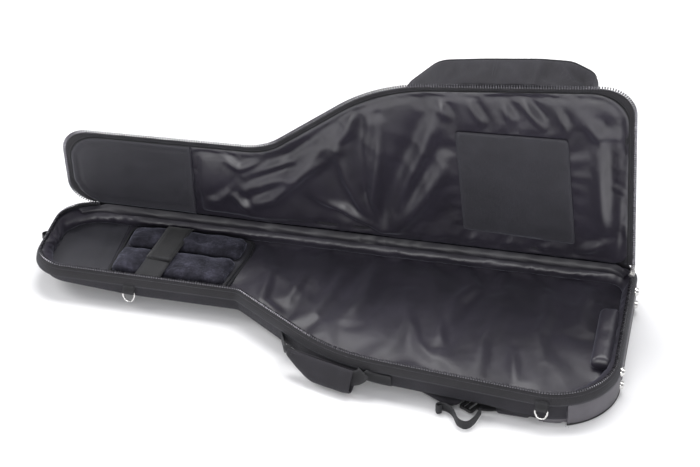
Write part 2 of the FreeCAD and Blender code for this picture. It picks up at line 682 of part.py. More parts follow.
def make_back():
    """Back pads, and two shoulder straps stowed flat beneath the back panel."""
    top = "size.back_bottom - 0.2"
    for pad in ("yoke", "lumbar"):
        head, tail, near, far = ("size.%s_%s" % (pad, side) for side in ("head", "tail", "near", "far"))
        corners = rectangle(head, tail, near, far)
        slab(pad + "_pad", [(x, y, "14") for x, y in corners], "0", top)
    for side, sign in (("near", -1), ("far", 1)):
        at = place("size.shoulder_x", "size.pad_centre_y + %d * size.shoulder_y" % sign, "0",
                   angle="%d * size.shoulder_angle" % sign)
        half = "size.shoulder_wide / 2"
        slab("shoulder_strap_" + side, [
            ("0", "-" + half, "8"), ("size.shoulder_long", "-" + half, "20"),
            ("size.shoulder_long", half, "20"), ("0", half, "8")],
            "size.shoulder_low", "size.shoulder_high", "3", at)
        ladder_lock(side, at)
        webbing = [("311", 196), ("336", 191), ("336", 167), ("320", 170)]
        slab("lower_webbing_" + side, across(webbing, sign), "size.shoulder_low + 2",
             "size.shoulder_low + 4")
        anchor = [("338", 195), ("400", 199), ("400", 150), ("338", 160)]
        slab("strap_anchor_" + side, across(anchor, sign), "2", "size.back_bottom - 0.5")
    tail = flat_sketch("strap_tail_path", [
        ("312", "-206"), ("303", "-243", "12"), ("283", "-240", "12"), ("268", "-214", "16"),
        ("242", "-205")], closed=False)
    doc.recompute()
    ribbon = doc.addObject("Part::Offset2D", "strap_tail_ribbon")
    ribbon.Source = tail
    ribbon.Mode = "Skin"
    ribbon.Join = "Arc"
    ribbon.Fill = True
    ribbon.setExpression("Value", "size.strap_webbing_half")
    part(extrude("strap_tail_near", ribbon, "size.shoulder_low", "size.shoulder_high - 0.5"))


def ladder_lock(side, at):
    """A moulded buckle with two slots; it tilts about the bar nearest the pad."""
    lock = doc.addObject("PartDesign::Body", "ladder_lock_" + side)
    start = "size.shoulder_long + 2"
    frame = draw_outline(body_sketch(lock, "lock_frame_" + side, height="size.shoulder_low + 1"), [
        (x, y, "3") for x, y in rectangle(
            start, plus(start, "size.lock_long"), "-size.lock_half", "size.lock_half")])
    pad_on(lock, "lock_pad_" + side, frame, "size.lock_thick")
    for number, (low, high) in enumerate((("4", "10"), ("14", "21")), start=1):
        slot = draw_outline(body_sketch(lock, "lock_slot_%s_%d" % (side, number), height="0"),
                            rectangle(plus(start, low), plus(start, high), "-13", "13"))
        pocket_on(lock, "lock_window_%s_%d" % (side, number), slot, "20", reverse=True)
    part(lock, at)


# ---------------------------------------------------------------- lid

def make_lid():
    edge = "-size.lid_edge"
    shell = layer("lid_shell", lid_outline, "-size.lid_edge + size.cover", "size.cover", "size.lid_top")
    hollow = layer("lid_hollow", lid_outline, edge, "size.cover - 1", "size.lid_foam_high")
    part(boolean("Cut", "lid_cover", shell, hollow), LID)
    part(layer("lid_foam", lid_outline, "-size.lid_edge - 0.2", "size.lid_foam_low",
               "size.lid_foam_high - 0.1"), LID)
    inset = "-size.tape - 0.3"
    sheet_levels = ("0.5", "size.lid_foam_low - 0.2")
    satin = layer("lid_lining_sheet", lid_outline, inset, *sheet_levels)
    part(only_between("lid_lining", satin, "size.patch_seam + size.gap", FAR), LID)
    smooth = layer("lid_patch_sheet", lid_outline, inset, *sheet_levels)
    part(only_between("lid_headstock_patch", smooth, "-" + FAR, "size.patch_seam"), LID)
    part(along("lid_zip_tape", lid_path, rectangle("-size.tape", "-size.teeth_half - 0.2", "0.6", "1.8")),
         LID)
    part(along("lid_zip_teeth", lid_path, teeth_profile("0.4")), LID)
    part(along("lid_seam_cord", lid_path, circle=(
        "-size.tape - 0.1", "0.05", "size.seam_cord")), LID)
    slab("lid_inner_pocket", [("219", "-46", "6"), ("202", "-269", "6"), ("397", "-277", "6"),
                              ("419", "-39", "6")], "-1.6", "0.3", placement=LID)


def pocket_outline():
    """The accessory pocket's outline on the outside of the lid."""
    low, head, tail = "-size.pocket_low", "size.pocket_head", "size.pocket_tail"
    return filled(flat_sketch("pocket_outline", [
        (head, low, "12"), (head, "-300", "24"), ("160", "-361", "50"), ("241", "-374", "80"),
        ("336", "-386", "80"), ("392", "-388", "40"), ("%s - 6" % tail, "-368", "16"),
        (tail, "-346", "8"), (tail, low, "12")]))


def make_accessory_pocket():
    outline = pocket_outline()
    doc.recompute()
    bottom = "size.lid_top + 0.2"
    front = "size.pocket_high - size.cover"
    part(band("pocket_gusset", outline, "-size.cover", "0", bottom, front), LID)
    part(layer("pocket_panel", outline, "0", front, "size.pocket_high"), LID)
    # straight zip on the gusset's tail side
    tail = "size.pocket_tail"
    middle = "(size.lid_top + size.pocket_high) / 2"
    ends = ("-310", "-size.pocket_low - 16")
    part(box("pocket_zip_tape", (plus(tail, "0.2"), ends[0], minus(middle, "10")),
             (plus(tail, "1.2"), ends[1], plus(middle, "10")), LID))
    part(box("pocket_zip_teeth", (plus(tail, "1.3"), ends[0], minus(middle, "size.teeth_half")),
             (plus(tail, "1.3 + size.teeth_high"), ends[1], plus(middle, "size.teeth_half")), LID))


# ---------------------------------------------------------------- zip sliders

def make_slider(name, at):
    """A slider that hugs a row of teeth, with a bridge for its pull.

    Its own frame has X across the zip, Y along it, and Z away from the tape, with the
    origin on top of the teeth.
    """
    body = doc.addObject("PartDesign::Body", name)
    half = "size.slider_wide / 2"
    roof, foot = "size.slider_roof", "-size.slider_skirt"
    top = plus(roof, "size.plate")
    channel = "%s - size.lip" % half
    section = draw_outline(body_sketch(body, name + "_section", "XZ_Plane"), [
        ("-" + half, foot), ("-(%s)" % channel, foot), ("-(%s)" % channel, roof),
        (channel, roof), (channel, foot), (half, foot), (half, top, "0.8"), ("-" + half, top, "0.8")])
    pad_on(body, name + "_plate", section, "size.slider_long", both_ways=True)
    bridge = draw_outline(body_sketch(body, name + "_bridge", "YZ_Plane"), [
        ("-size.bridge_half", minus(top, "0.1")), ("size.bridge_half", minus(top, "0.1")),
        ("size.bridge_half", "size.bridge_high", "1.2"), ("-size.bridge_half", "size.bridge_high", "1.2")])
    pad_on(body, name + "_bridge_pad", bridge, "2.4", both_ways=True)
    window = draw_outline(body_sketch(body, name + "_window", "YZ_Plane"), rectangle(
        "-2.8", "2.8", top, "size.bridge_high - 1.2"))
    pocket_on(body, name + "_window_cut", window, "6", both_ways=True)
    part(body, at)

    pull = doc.addObject("PartDesign::Body", name + "_pull")
    half = "size.pull_wide / 2"
    tag = draw_outline(body_sketch(pull, name + "_tag", height="-size.pull_thick / 2"), [
        ("-" + half, "-0.8"), (half, "-0.8"), (half, "size.pull_long", "3"),
        ("-" + half, "size.pull_long", "3")])
    pad_on(pull, name + "_tag_pad", tag, "size.pull_thick")
    eye = draw_outline(body_sketch(pull, name + "_eye"), rectangle("-2.2", "2.2", "0.8", "7"))
    pocket_on(pull, name + "_eye_cut", eye, "8", both_ways=True)
    part(pull, at + " * " + place("0", "0", "size.pull_axis"))


def make_sliders():
    teeth_top = "size.tray_teeth + size.teeth_high"
    make_slider("slider_tail", place("size.tail_x", "size.tail_slider_y", teeth_top))
    on_gusset = place("size.pocket_tail + 1.3 + size.teeth_high", "-size.pocket_slider_d",
                   "(size.lid_top + size.pocket_high) / 2", (0, 1, 0), "90")
    make_slider("slider_pocket", LID + " * " + on_gusset)


def make_hang_loop():
    """A small webbing loop at the headstock end."""
    slab("hang_loop", [
        ("size.head_x - size.wall_out - 14", "80", "4"), ("size.head_x - size.wall_out - 0.2", "80"),
        ("size.head_x - size.wall_out - 0.2", "102"), ("size.head_x - size.wall_out - 14", "102", "4")],
        "46", "50")


make_tray()
make_tray_zip()
make_cushions()
make_neck_straps()
make_studs()
make_d_ring("head", "size.ring_head_x", NECK_LINE)
make_d_ring("tail", "size.ring_tail_x", BODY_LINE)
make_handle()
make_back()
make_lid()
make_accessory_pocket()
make_sliders()
make_hang_loop()
doc.recompute()

# ---------------------------------------------------------------- checks and export

for item in doc.Objects:
    if "Invalid" in item.State or "Error" in item.State:
        raise RuntimeError("%s: %s" % (item.Name, item.State))
for item in parts:
    if item.Shape.isNull() or not item.Shape.isValid() or not item.Shape.Solids:
        raise RuntimeError("%s has no valid solid" % item.Name)

os.makedirs("parts", exist_ok=True)
for item in parts:
    item.Shape.exportStep("parts/%s.step" % item.Label)
    size = item.Shape.BoundBox
    print("%-24s %d solid(s)  x %.0f..%.0f  y %.0f..%.0f  z %.1f..%.1f  %.1f cm3" % (
        item.Label, len(item.Shape.Solids), size.XMin, size.XMax, size.YMin, size.YMax,
        size.ZMin, size.ZMax, item.Shape.Volume / 1000))
print("%d sub-parts" % len(parts))
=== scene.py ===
import math

import bpy
import numpy as np
from mathutils import Matrix, Vector


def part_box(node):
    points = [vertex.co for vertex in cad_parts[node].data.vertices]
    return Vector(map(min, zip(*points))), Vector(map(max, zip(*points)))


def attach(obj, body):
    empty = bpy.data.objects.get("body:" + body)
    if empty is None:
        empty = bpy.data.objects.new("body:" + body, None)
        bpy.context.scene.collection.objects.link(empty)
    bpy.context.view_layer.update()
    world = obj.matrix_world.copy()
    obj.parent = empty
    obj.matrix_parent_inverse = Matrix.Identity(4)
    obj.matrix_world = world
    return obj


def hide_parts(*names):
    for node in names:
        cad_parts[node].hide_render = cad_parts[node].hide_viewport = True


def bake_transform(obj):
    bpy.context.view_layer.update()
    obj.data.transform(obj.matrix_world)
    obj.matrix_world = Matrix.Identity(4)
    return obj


# Padded gig bag, open. Lengths are in millimetres and become metres in build().
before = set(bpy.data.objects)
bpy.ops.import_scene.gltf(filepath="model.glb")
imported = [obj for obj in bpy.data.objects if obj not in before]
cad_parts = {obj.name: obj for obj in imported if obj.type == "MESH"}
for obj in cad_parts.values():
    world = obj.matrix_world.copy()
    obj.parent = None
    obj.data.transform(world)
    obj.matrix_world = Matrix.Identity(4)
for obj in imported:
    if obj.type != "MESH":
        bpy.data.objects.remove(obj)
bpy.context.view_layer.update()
MM = 0.001

# ---------------------------------------------------------------- frame of the lid and the outlines

HINGE_Y, HINGE_Z = 190.0, 66.0
LID_OPEN = math.radians(82)
LID_COS, LID_SIN = math.cos(LID_OPEN), math.sin(LID_OPEN)


def on_tray(x, y, z):
    return np.stack(np.broadcast_arrays(x, y, z), axis=-1).astype(float)


def on_lid(x, y, h):
    """Place on the open lid of a point drawn on the closed lid, h above the hinge plane."""
    d = HINGE_Y - np.asarray(y, float)
    return on_tray(x, HINGE_Y - LID_COS * d + LID_SIN * h, HINGE_Z + LID_SIN * d + LID_COS * h)


def unit(vector):
    vector = np.asarray(vector, float)
    return vector / np.maximum(np.linalg.norm(vector, axis=-1, keepdims=True), 1e-9)


def distances(points):
    """Distance walked along a path at each of its points."""
    return np.concatenate([[0.0], np.cumsum(np.linalg.norm(np.diff(points, axis=0), axis=1))])


class Loop:
    """An outline of straight runs and arcs, which can be traced at any distance outwards."""

    def __init__(self, corners, closed=True, step=6.0):
        self.corners, self.closed = [(*c, 0.0)[:3] for c in corners], closed
        bends = self.bends(0.0)
        self.counts = []
        for i, bend in enumerate(bends):
            after = bends[(i + 1) % len(bends)]
            arc = max(2, round(abs(bend[3]) * bend[1] / step)) if bend[1] > 0 else 0
            last = not closed and i == len(bends) - 1
            run = np.linalg.norm(after[4] - bend[5])
            self.counts.append((arc, 0 if last else max(1, round(run / step))))
        self.base = self.at(0.0)
        self.normals = unit(self.at(0.5) - self.base)
        self.along = distances(self.base)

    def bends(self, grow):
        points = np.array([c[:2] for c in self.corners])
        made = []
        for i, (x, y, radius) in enumerate(self.corners):
            here = points[i]
            into = unit(here - points[i - 1])
            out = unit(points[(i + 1) % len(points)] - here)
            if not self.closed and i == 0:
                into = out
            if not self.closed and i == len(points) - 1:
                out = into
            side = np.array((into[1], -into[0])) + np.array((out[1], -out[0]))
            corner = here + grow * side / (1 + into @ out)
            turn = math.atan2(into[0] * out[1] - into[1] * out[0], into @ out)
            r = max(0.0, radius + math.copysign(grow, turn)) if radius > 0 else 0.0
            back = r * math.tan(abs(turn) / 2)
            start, end = corner - into * back, corner + out * back
            centre = start + np.array((-into[1], into[0])) * math.copysign(r, turn)
            angle = math.atan2(start[1] - centre[1], start[0] - centre[0])
            made.append((centre, r if radius > 0 else 0.0, angle, turn, start, end))
        return made

    def at(self, grow):
        bends, points = self.bends(grow), []
        for i, (centre, r, angle, turn, start, end) in enumerate(bends):
            arc, run = self.counts[i]
            for k in range(arc + 1 if arc else 1):
                a = angle + turn * (k / arc if arc else 0.0)
                points.append(centre + r * np.array((math.cos(a), math.sin(a))) if arc else start)
            after = bends[(i + 1) % len(bends)]
            for k in range(1, run):
                points.append(end + (after[4] - end) * k / run)
        return np.array(points)

    def run(self, keep=None):
        """Indices of the points that pass a test, in order along one unbroken run."""
        if keep is None:
            return np.arange(len(self.base))
        chosen = np.flatnonzero(keep(self.base))
        jumps = np.flatnonzero(np.diff(chosen) > 1)
        if len(jumps):
            chosen = np.concatenate([chosen[jumps[0] + 1:], chosen[:jumps[0] + 1]])
        return chosen


TRAY_NEAR = [(-530, -11, 55), (-150, -17, 25), (50, -157, 300), (525, -210, 110)]
LID_NEAR = [(-521, 22, 48), (-143, 12, 110), (65, -160, 300), (506, -211, 52)]
TRAY_HEAD, LID_HEAD = (-530, HINGE_Y, 60), (-520, HINGE_Y, 46)
TRAY = Loop([TRAY_HEAD, *TRAY_NEAR, (525, HINGE_Y, 22)])
LID = Loop([LID_HEAD, *LID_NEAR, (525, HINGE_Y, 14)])
TRAY_ZIP = Loop([(-466, HINGE_Y), TRAY_HEAD, *TRAY_NEAR, (525, 180)], False)
LID_ZIP = Loop([(-473, HINGE_Y), LID_HEAD, *LID_NEAR, (525, 188)], False)
PATCH_SEAM = -280
FLOOR_SEAM = -404.5


def clip(points, limit, keep_above):
    """The part of a closed outline on one side of x = limit."""
    kept = []
    sign = 1 if keep_above else -1
    for a, b in zip(points, np.roll(points, -1, axis=0)):
        if sign * (a[0] - limit) >= 0:
            kept.append(a)
        if (a[0] - limit) * (b[0] - limit) < 0:
            kept.append(a + (b - a) * (limit - a[0]) / (b[0] - a[0]))
    return np.array(kept)


# ---------------------------------------------------------------- materials


class Nodes:
    """Short calls for building a node material."""

    def __init__(self, name):
        self.material = bpy.data.materials.new(name)
        self.material.use_nodes = True
        self.tree = self.material.node_tree
        self.tree.nodes.clear()
        self.out = self.add("ShaderNodeOutputMaterial")
        self.shader = self.add("ShaderNodeBsdfPrincipled")
        self.tree.links.new(self.shader.outputs[0], self.out.inputs["Surface"])
        self.coords = self.add("ShaderNodeTexCoord")

    def add(self, kind, **settings):
        node = self.tree.nodes.new(kind)
        for key, item in settings.items():
            setattr(node, key, item)
        return node

    def put(self, socket, item):
        if isinstance(item, bpy.types.NodeSocket):
            self.tree.links.new(item, socket)
        else:
            socket.default_value = item

    def math(self, operation, a, b=0.0, c=0.0):
        node = self.add("ShaderNodeMath", operation=operation)
        for socket, item in zip(node.inputs, (a, b, c)):
            self.put(socket, item)
        return node.outputs[0]

    def noise(self, vector, scale, detail=4.0, rough=0.55):
        node = self.add("ShaderNodeTexNoise")
        self.put(node.inputs["Vector"], vector)
        self.put(node.inputs["Scale"], scale)
        self.put(node.inputs["Detail"], detail)
        self.put(node.inputs["Roughness"], rough)
        return node.outputs["Fac"]

    def ramp(self, factor, *stops):
        node = self.add("ShaderNodeValToRGB")
        self.put(node.inputs[0], factor)
        points = node.color_ramp.elements
        while len(points) < len(stops):
            points.new(0.5)
        for point, (place, colour) in zip(points, stops):
            point.position = place
            point.color = (*colour, 1.0)
        return node.outputs[0]

    def map(self, factor, low, high):
        node = self.add("ShaderNodeMapRange")
        self.put(node.inputs["Value"], factor)
        self.put(node.inputs["To Min"], low)
        self.put(node.inputs["To Max"], high)
        return node.outputs[0]

    def set(self, **items):
        names = {"colour": "Base Color", "rough": "Roughness", "metal": "Metallic",
                 "sheen": "Sheen Weight", "sheen_rough": "Sheen Roughness", "tint": "Sheen Tint",
                 "level": "Specular IOR Level", "coat": "Coat Weight", "normal": "Normal",
                 "coat_rough": "Coat Roughness"}
        for key, item in items.items():
            self.put(self.shader.inputs[names[key]], item)

    def bump(self, height, depth, normal=None):
        node = self.add("ShaderNodeBump")
        self.put(node.inputs["Height"], height)
        node.inputs["Distance"].default_value = depth * MM
        node.inputs["Strength"].default_value = 1.0
        if normal is not None:
            self.put(node.inputs["Normal"], normal)
        return node.outputs[0]

    def stretch(self, vector, x, y, z):
        node = self.add("ShaderNodeVectorMath", operation="MULTIPLY")
        self.put(node.inputs[0], vector)
        node.inputs[1].default_value = (x, y, z)
        return node.outputs[0]

    def split(self, vector):
        node = self.add("ShaderNodeSeparateXYZ")
        self.put(node.inputs[0], vector)
        return node.outputs

    def threads(self, vector, pitch):
        """Plain weave: over-and-under threads, pitch apart in millimetres."""
        x, y, z = self.split(vector)
        pace = 2 * math.pi / (pitch * MM)
        across = self.math("SINE", self.math("MULTIPLY", x, pace))
        down = self.math("SINE", self.math("MULTIPLY", self.math("ADD", y, z), pace))
        return self.math("MULTIPLY_ADD", across, down, 0.5)

    def ribs(self, vector, pitch, lean=0.35):
        """Slanted ribs of a heavy tape or webbing."""
        x, y, z = self.split(vector)
        pace = 2 * math.pi / (pitch * MM)
        run = self.math("ADD", self.math("ADD", x, self.math("MULTIPLY", y, lean)), z)
        fold = self.math("ABSOLUTE", self.math("SINE", self.math("MULTIPLY", y, pace * 0.35)))
        wave = self.math("SINE", self.math("MULTIPLY_ADD", fold, 1.6, self.math("MULTIPLY", run, pace)))
        return self.math("MULTIPLY_ADD", wave, 0.5, 0.5)


def shade(colour, factor):
    return tuple(min(1.0, c * factor) for c in colour)


def fabric(name, colour, rough, sheen, pitch, depth, patches=0.25, ribbed=False, wear=1.6, level=0.4):
    """Woven cloth: threads with painted shade where they dip, soft colour patches, worn edges and a sheen."""
    n = Nodes(name)
    place = n.coords.outputs["UV"]
    solid = n.coords.outputs["Object"]
    weave = n.ribs(place, pitch) if ribbed else n.threads(place, pitch)
    cloud = n.noise(solid, 22.0, 3.0)
    grit = n.noise(solid, 900.0, 2.0)
    tone = n.ramp(cloud, (0.3, shade(colour, 1 - patches)), (0.7, shade(colour, 1 + patches)))
    edge = n.add("ShaderNodeNewGeometry").outputs["Pointiness"]
    worn = n.map(n.ramp(edge, (0.5, (0, 0, 0)), (0.56, (1, 1, 1))), 0.0, 1.0)
    mix = n.add("ShaderNodeMix", data_type="RGBA")
    n.put(mix.inputs["Factor"], n.math("MULTIPLY", worn, 0.5))
    n.put(mix.inputs[6], tone)
    n.put(mix.inputs[7], (*shade(colour, wear), 1.0))
    # Painted shade: the colour is darkened where the weave's bump is low, between and under the threads.
    thread = n.add("ShaderNodeMix", data_type="RGBA", blend_type="MULTIPLY")
    n.put(thread.inputs["Factor"], 0.55)
    n.put(thread.inputs[6], mix.outputs[2])
    n.put(thread.inputs[7], n.ramp(weave, (0.15, (0.55,) * 3), (0.85, (1.0,) * 3)))
    n.set(colour=thread.outputs[2], sheen=sheen, sheen_rough=0.4, level=level,
          tint=(0.75, 0.78, 0.9, 1.0),
          rough=n.map(n.math("ADD", n.math("MULTIPLY", cloud, 0.6), n.math("MULTIPLY", grit, 0.4)),
                      rough - 0.12, rough + 0.12))
    n.set(normal=n.bump(grit, depth * 0.5, n.bump(weave, depth)))
    return n.material


def satin(name, colour, rough, level=0.8):
    """Glossy lining: fine twill threads, broad soft reflections and tiny puckers."""
    n = Nodes(name)
    solid = n.coords.outputs["Object"]
    cloud = n.noise(solid, 14.0, 4.0)
    crinkle = n.noise(n.stretch(solid, 1.0, 0.6, 1.0), 16.0, 2.0, 0.45)
    pucker = n.noise(solid, 170.0, 2.0)
    twill = n.threads(n.coords.outputs["UV"], 0.8)
    n.set(colour=n.ramp(cloud, (0.3, shade(colour, 0.75)), (0.7, shade(colour, 1.3))),
          rough=n.map(crinkle, rough - 0.04, rough + 0.06), level=level, sheen=0.2,
          sheen_rough=0.35, tint=(0.74, 0.76, 0.92, 1.0))
    n.set(normal=n.bump(twill, 0.02, n.bump(pucker, 0.05, n.bump(crinkle, 0.7))))
    return n.material


def plush(name, colour):
    """Short blue-black pile in brushed patches, painted lighter on the raised pile and darker in the low pile:
    painted highlight and painted shade.
    """
    n = Nodes(name)
    solid = n.coords.outputs["Object"]
    pile = n.noise(n.stretch(solid, 1.0, 0.5, 1.0), 420.0, 4.0, 0.7)
    brushed = n.noise(solid, 45.0, 4.0, 0.65)
    both = n.math("MULTIPLY_ADD", brushed, 0.65, n.math("MULTIPLY", pile, 0.35))
    # Painted highlight and shade: the colour runs from dark in the low pile to 2.6 times lighter on the raised
    # pile, following the bump.
    n.set(colour=n.ramp(both, (0.36, shade(colour, 0.35)), (0.52, colour), (0.68, shade(colour, 2.6))),
          rough=0.9, level=0.15, sheen=0.5, sheen_rough=0.35, tint=(0.66, 0.68, 0.86, 1.0))
    n.set(normal=n.bump(pile, 1.3, n.bump(brushed, 2.2)))
    return n.material


def leather(name, colour):
    """Coated guard material with a pebble grain."""
    n = Nodes(name)
    solid = n.coords.outputs["Object"]
    cells = n.add("ShaderNodeTexVoronoi", feature="F1")
    n.put(cells.inputs["Vector"], solid)
    cells.inputs["Scale"].default_value = 620.0
    cloud = n.noise(solid, 18.0, 4.0)
    scuff = n.noise(n.stretch(solid, 1.0, 3.0, 1.0), 90.0, 5.0, 0.7)
    n.set(colour=n.ramp(cloud, (0.3, shade(colour, 0.8)), (0.72, shade(colour, 1.25))),
          rough=n.map(scuff, 0.42, 0.66), level=0.45, coat=0.05, coat_rough=0.4)
    n.set(normal=n.bump(cells.outputs["Distance"], 0.16, n.bump(cloud, 0.8)))
    return n.material


def fuzzy(name, colour):
    """Hook-and-loop face: a mat of tiny loops, with painted shade between them."""
    n = Nodes(name)
    solid = n.coords.outputs["Object"]
    loops = n.noise(solid, 1100.0, 3.0, 0.8)
    cloud = n.noise(solid, 60.0, 3.0)
    # Colour follows the loops' bump, darker in the low places as painted shade, plus random tone from a broad
    # cloud.
    n.set(colour=n.ramp(n.math("MULTIPLY_ADD", loops, 0.6, n.math("MULTIPLY", cloud, 0.4)),
                        (0.35, shade(colour, 0.5)), (0.65, shade(colour, 1.8))),
          rough=0.95, level=0.1, sheen=0.2, sheen_rough=0.5)
    n.set(normal=n.bump(loops, 0.7))
    return n.material


def mesh_cloth(name, colour):
    """Open spacer mesh: a field of small dimples, with painted shade darkening each dimple."""
    n = Nodes(name)
    cells = n.add("ShaderNodeTexVoronoi", feature="DISTANCE_TO_EDGE")
    n.put(cells.inputs["Vector"], n.coords.outputs["Object"])
    cells.inputs["Scale"].default_value = 300.0
    wall = n.map(n.math("MINIMUM", n.math("MULTIPLY", cells.outputs[0], 4.0), 1.0), 1.0, 0.0)
    # Painted shade: the colour darkens to 0.3 of the base towards the middle of each dimple.
    n.set(colour=n.ramp(wall, (0.2, shade(colour, 0.3)), (0.75, shade(colour, 1.3))),
          rough=0.85, sheen=0.25, level=0.25)
    n.set(normal=n.bump(wall, 0.9))
    return n.material


def metal(name, colour, rough):
    """Plated metal with a brushed, slightly smudged finish."""
    n = Nodes(name)
    solid = n.coords.outputs["Object"]
    smudge = n.noise(solid, 160.0, 4.0)
    scratch = n.noise(n.stretch(solid, 1.0, 14.0, 1.0), 300.0, 3.0)
    n.set(colour=n.ramp(smudge, (0.3, shade(colour, 0.8)), (0.7, colour)), metal=1.0,
          rough=n.map(n.math("MULTIPLY_ADD", smudge, 0.5, n.math("MULTIPLY", scratch, 0.5)),
                      rough * 0.6, rough * 1.6))
    n.set(normal=n.bump(scratch, 0.02))
    return n.material


def plastic(name, colour, rough):
    """Moulded plastic with a fine spark-eroded texture."""
    n = Nodes(name)
    solid = n.coords.outputs["Object"]
    grain = n.noise(solid, 1500.0, 2.0)
    cloud = n.noise(solid, 120.0, 3.0)
    n.set(colour=n.ramp(cloud, (0.3, shade(colour, 0.8)), (0.7, shade(colour, 1.25))),
          rough=n.map(grain, rough - 0.08, rough + 0.1), level=0.5)
    n.set(normal=n.bump(grain, 0.03))
    return n.material


LOOKS = {
    "outer_nylon": fabric("outer_nylon", (0.0180, 0.0165, 0.0215), 0.70, 0.08, 1.3, 0.2, 0.3),
    "satin_lining": satin("satin_lining", (0.0225, 0.0198, 0.0290), 0.38),
    "satin_lid": satin("satin_lid", (0.0225, 0.0198, 0.0290), 0.33, 0.9),
    "satin_floor": satin("satin_floor", (0.0225, 0.0198, 0.0290), 0.42, 0.6),
    # The hinge lining's satin is the lining's own satin painted darker, as painted shade along the hinge.
    "satin_hinge_painted_shade": satin("satin_hinge_painted_shade", (0.0130, 0.0115, 0.0170), 0.48),
    "smooth_patch": fabric("smooth_patch", (0.037, 0.036, 0.044), 0.5, 0.15, 0.9, 0.08, 0.15),
    "plush": plush("plush", (0.0240, 0.0232, 0.0325)),
    "guard_leather": leather("guard_leather", (0.088, 0.083, 0.094)),
    "mesh_pad": mesh_cloth("mesh_pad", (0.02, 0.02, 0.022)),
    "webbing": fabric("webbing", (0.017, 0.017, 0.019), 0.66, 0.05, 2.6, 0.4, 0.2, True),
    "hook_and_loop": fuzzy("hook_and_loop", (0.012, 0.012, 0.013)),
    "zip_tape": fabric("zip_tape", (0.0225, 0.0215, 0.0245), 0.75, 0.10, 2.6, 0.6, 0.2, True),
    "zip_teeth": metal("zip_teeth", (0.21, 0.205, 0.225), 0.24),
    "chrome": metal("chrome", (0.83, 0.82, 0.80), 0.10),
    "slider_metal": metal("slider_metal", (0.72, 0.71, 0.69), 0.24),
    "buckle_plastic": plastic("buckle_plastic", (0.016, 0.016, 0.017), 0.38),
    "thread": fabric("thread", (0.075, 0.074, 0.084), 0.5, 0.3, 0.8, 0.2, 0.1, True),
}

# ---------------------------------------------------------------- mesh helpers


def build(name, points, faces, body, slot, stands_for=(), uv=None, look=None, smooth=True):
    """One piece from millimetre points; it rides on a body and may stand for CAD nodes."""
    data = bpy.data.meshes.new(name)
    data.from_pydata((np.asarray(points, float) * MM).tolist(), [], faces)
    data.validate()
    data.polygons.foreach_set("use_smooth", [smooth] * len(data.polygons))
    if uv is not None:
        layer = data.uv_layers.new(name="weave")
        index = np.empty(len(data.loops), int)
        data.loops.foreach_get("vertex_index", index)
        layer.data.foreach_set("uv", (np.asarray(uv, float)[index] * MM).astype(np.float32).ravel())
    data.materials.append(LOOKS[look or slot])
    data.update()
    piece = bpy.data.objects.new(name, data)
    bpy.context.scene.collection.objects.link(piece)
    if body:
        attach(piece, body)
    if stands_for:
        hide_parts(*stands_for)
    return piece


def modify(piece, kind, **settings):
    modifier = piece.modifiers.new(kind.lower(), kind)
    for key, item in settings.items():
        setattr(modifier, key, item)


def thicken(piece, thickness, offset=-1.0):
    modify(piece, "SOLIDIFY", thickness=thickness * MM, offset=offset)
    return piece


def refine(piece, levels=1):
    modify(piece, "SUBSURF", levels=levels, render_levels=levels)


def ripples(u, v, wave, seed, lean=0.0, spread=math.pi, count=8):
    """Seeded sine waves of about one wavelength; lean is the direction they run in."""
    draw = np.random.default_rng(seed)
    total = 0.0
    for _ in range(count):
        angle = lean + spread * draw.uniform(-1, 1)
        pace = 2 * math.pi / (wave * draw.uniform(0.6, 1.6))
        phase = draw.uniform(0, 2 * math.pi)
        total = total + np.sin(pace * (u * math.cos(angle) + v * math.sin(angle)) + phase)
    return total / math.sqrt(count)


def creases(u, v, wave, seed, lean=0.0, spread=0.5):
    """Wandering crests, 0 in the troughs and 1 on the crest."""
    drift = 0.35 * wave
    du = drift * ripples(u, v, wave * 2.5, seed + 1)
    dv = drift * ripples(u, v, wave * 2.5, seed + 2)
    return np.clip(1 - np.abs(ripples(u + du, v + dv, wave, seed, lean, spread)), 0, 1)


def folds(x, y, lines):
    """Rounded ridges along broken lines, each (width, height, points), with a trough beside."""
    total = np.zeros(np.shape(x))
    for width, height, points in lines:
        points = np.array(points, float)
        spans = np.linalg.norm(np.diff(points, axis=0), axis=1)
        best = np.full(total.shape, 1e9)
        side = np.zeros(total.shape)
        progress = np.zeros(total.shape)
        walked = 0.0
        for a, b, span in zip(points[:-1], points[1:], spans):
            ux, uy = (b - a) / span
            t = np.clip((x - a[0]) * ux + (y - a[1]) * uy, 0, span)
            off = (x - a[0]) * -uy + (y - a[1]) * ux
            far = np.hypot(x - a[0] - ux * t, y - a[1] - uy * t)
            near = far < best
            best = np.where(near, far, best)
            side = np.where(near, np.sign(off), side)
            progress = np.where(near, (walked + t) / spans.sum(), progress)
            walked += span
        taper = np.sin(np.pi * np.clip(progress, 0.04, 0.96)) ** 0.6
        reach = best * side
        ridge = np.exp(-(best / width) ** 2)
        trough = np.exp(-((reach - 1.9 * width) / (1.3 * width)) ** 2)
        total += height * taper * (ridge - 0.55 * trough)
    return total


def grid_faces(rows, columns, wrap):
    faces = []
    width = columns if wrap else columns - 1
    for r in range(rows - 1):
        for c in range(width):
            d = (c + 1) % columns
            faces.append((r * columns + c, r * columns + d, (r + 1) * columns + d, (r + 1) * columns + c))
    return faces


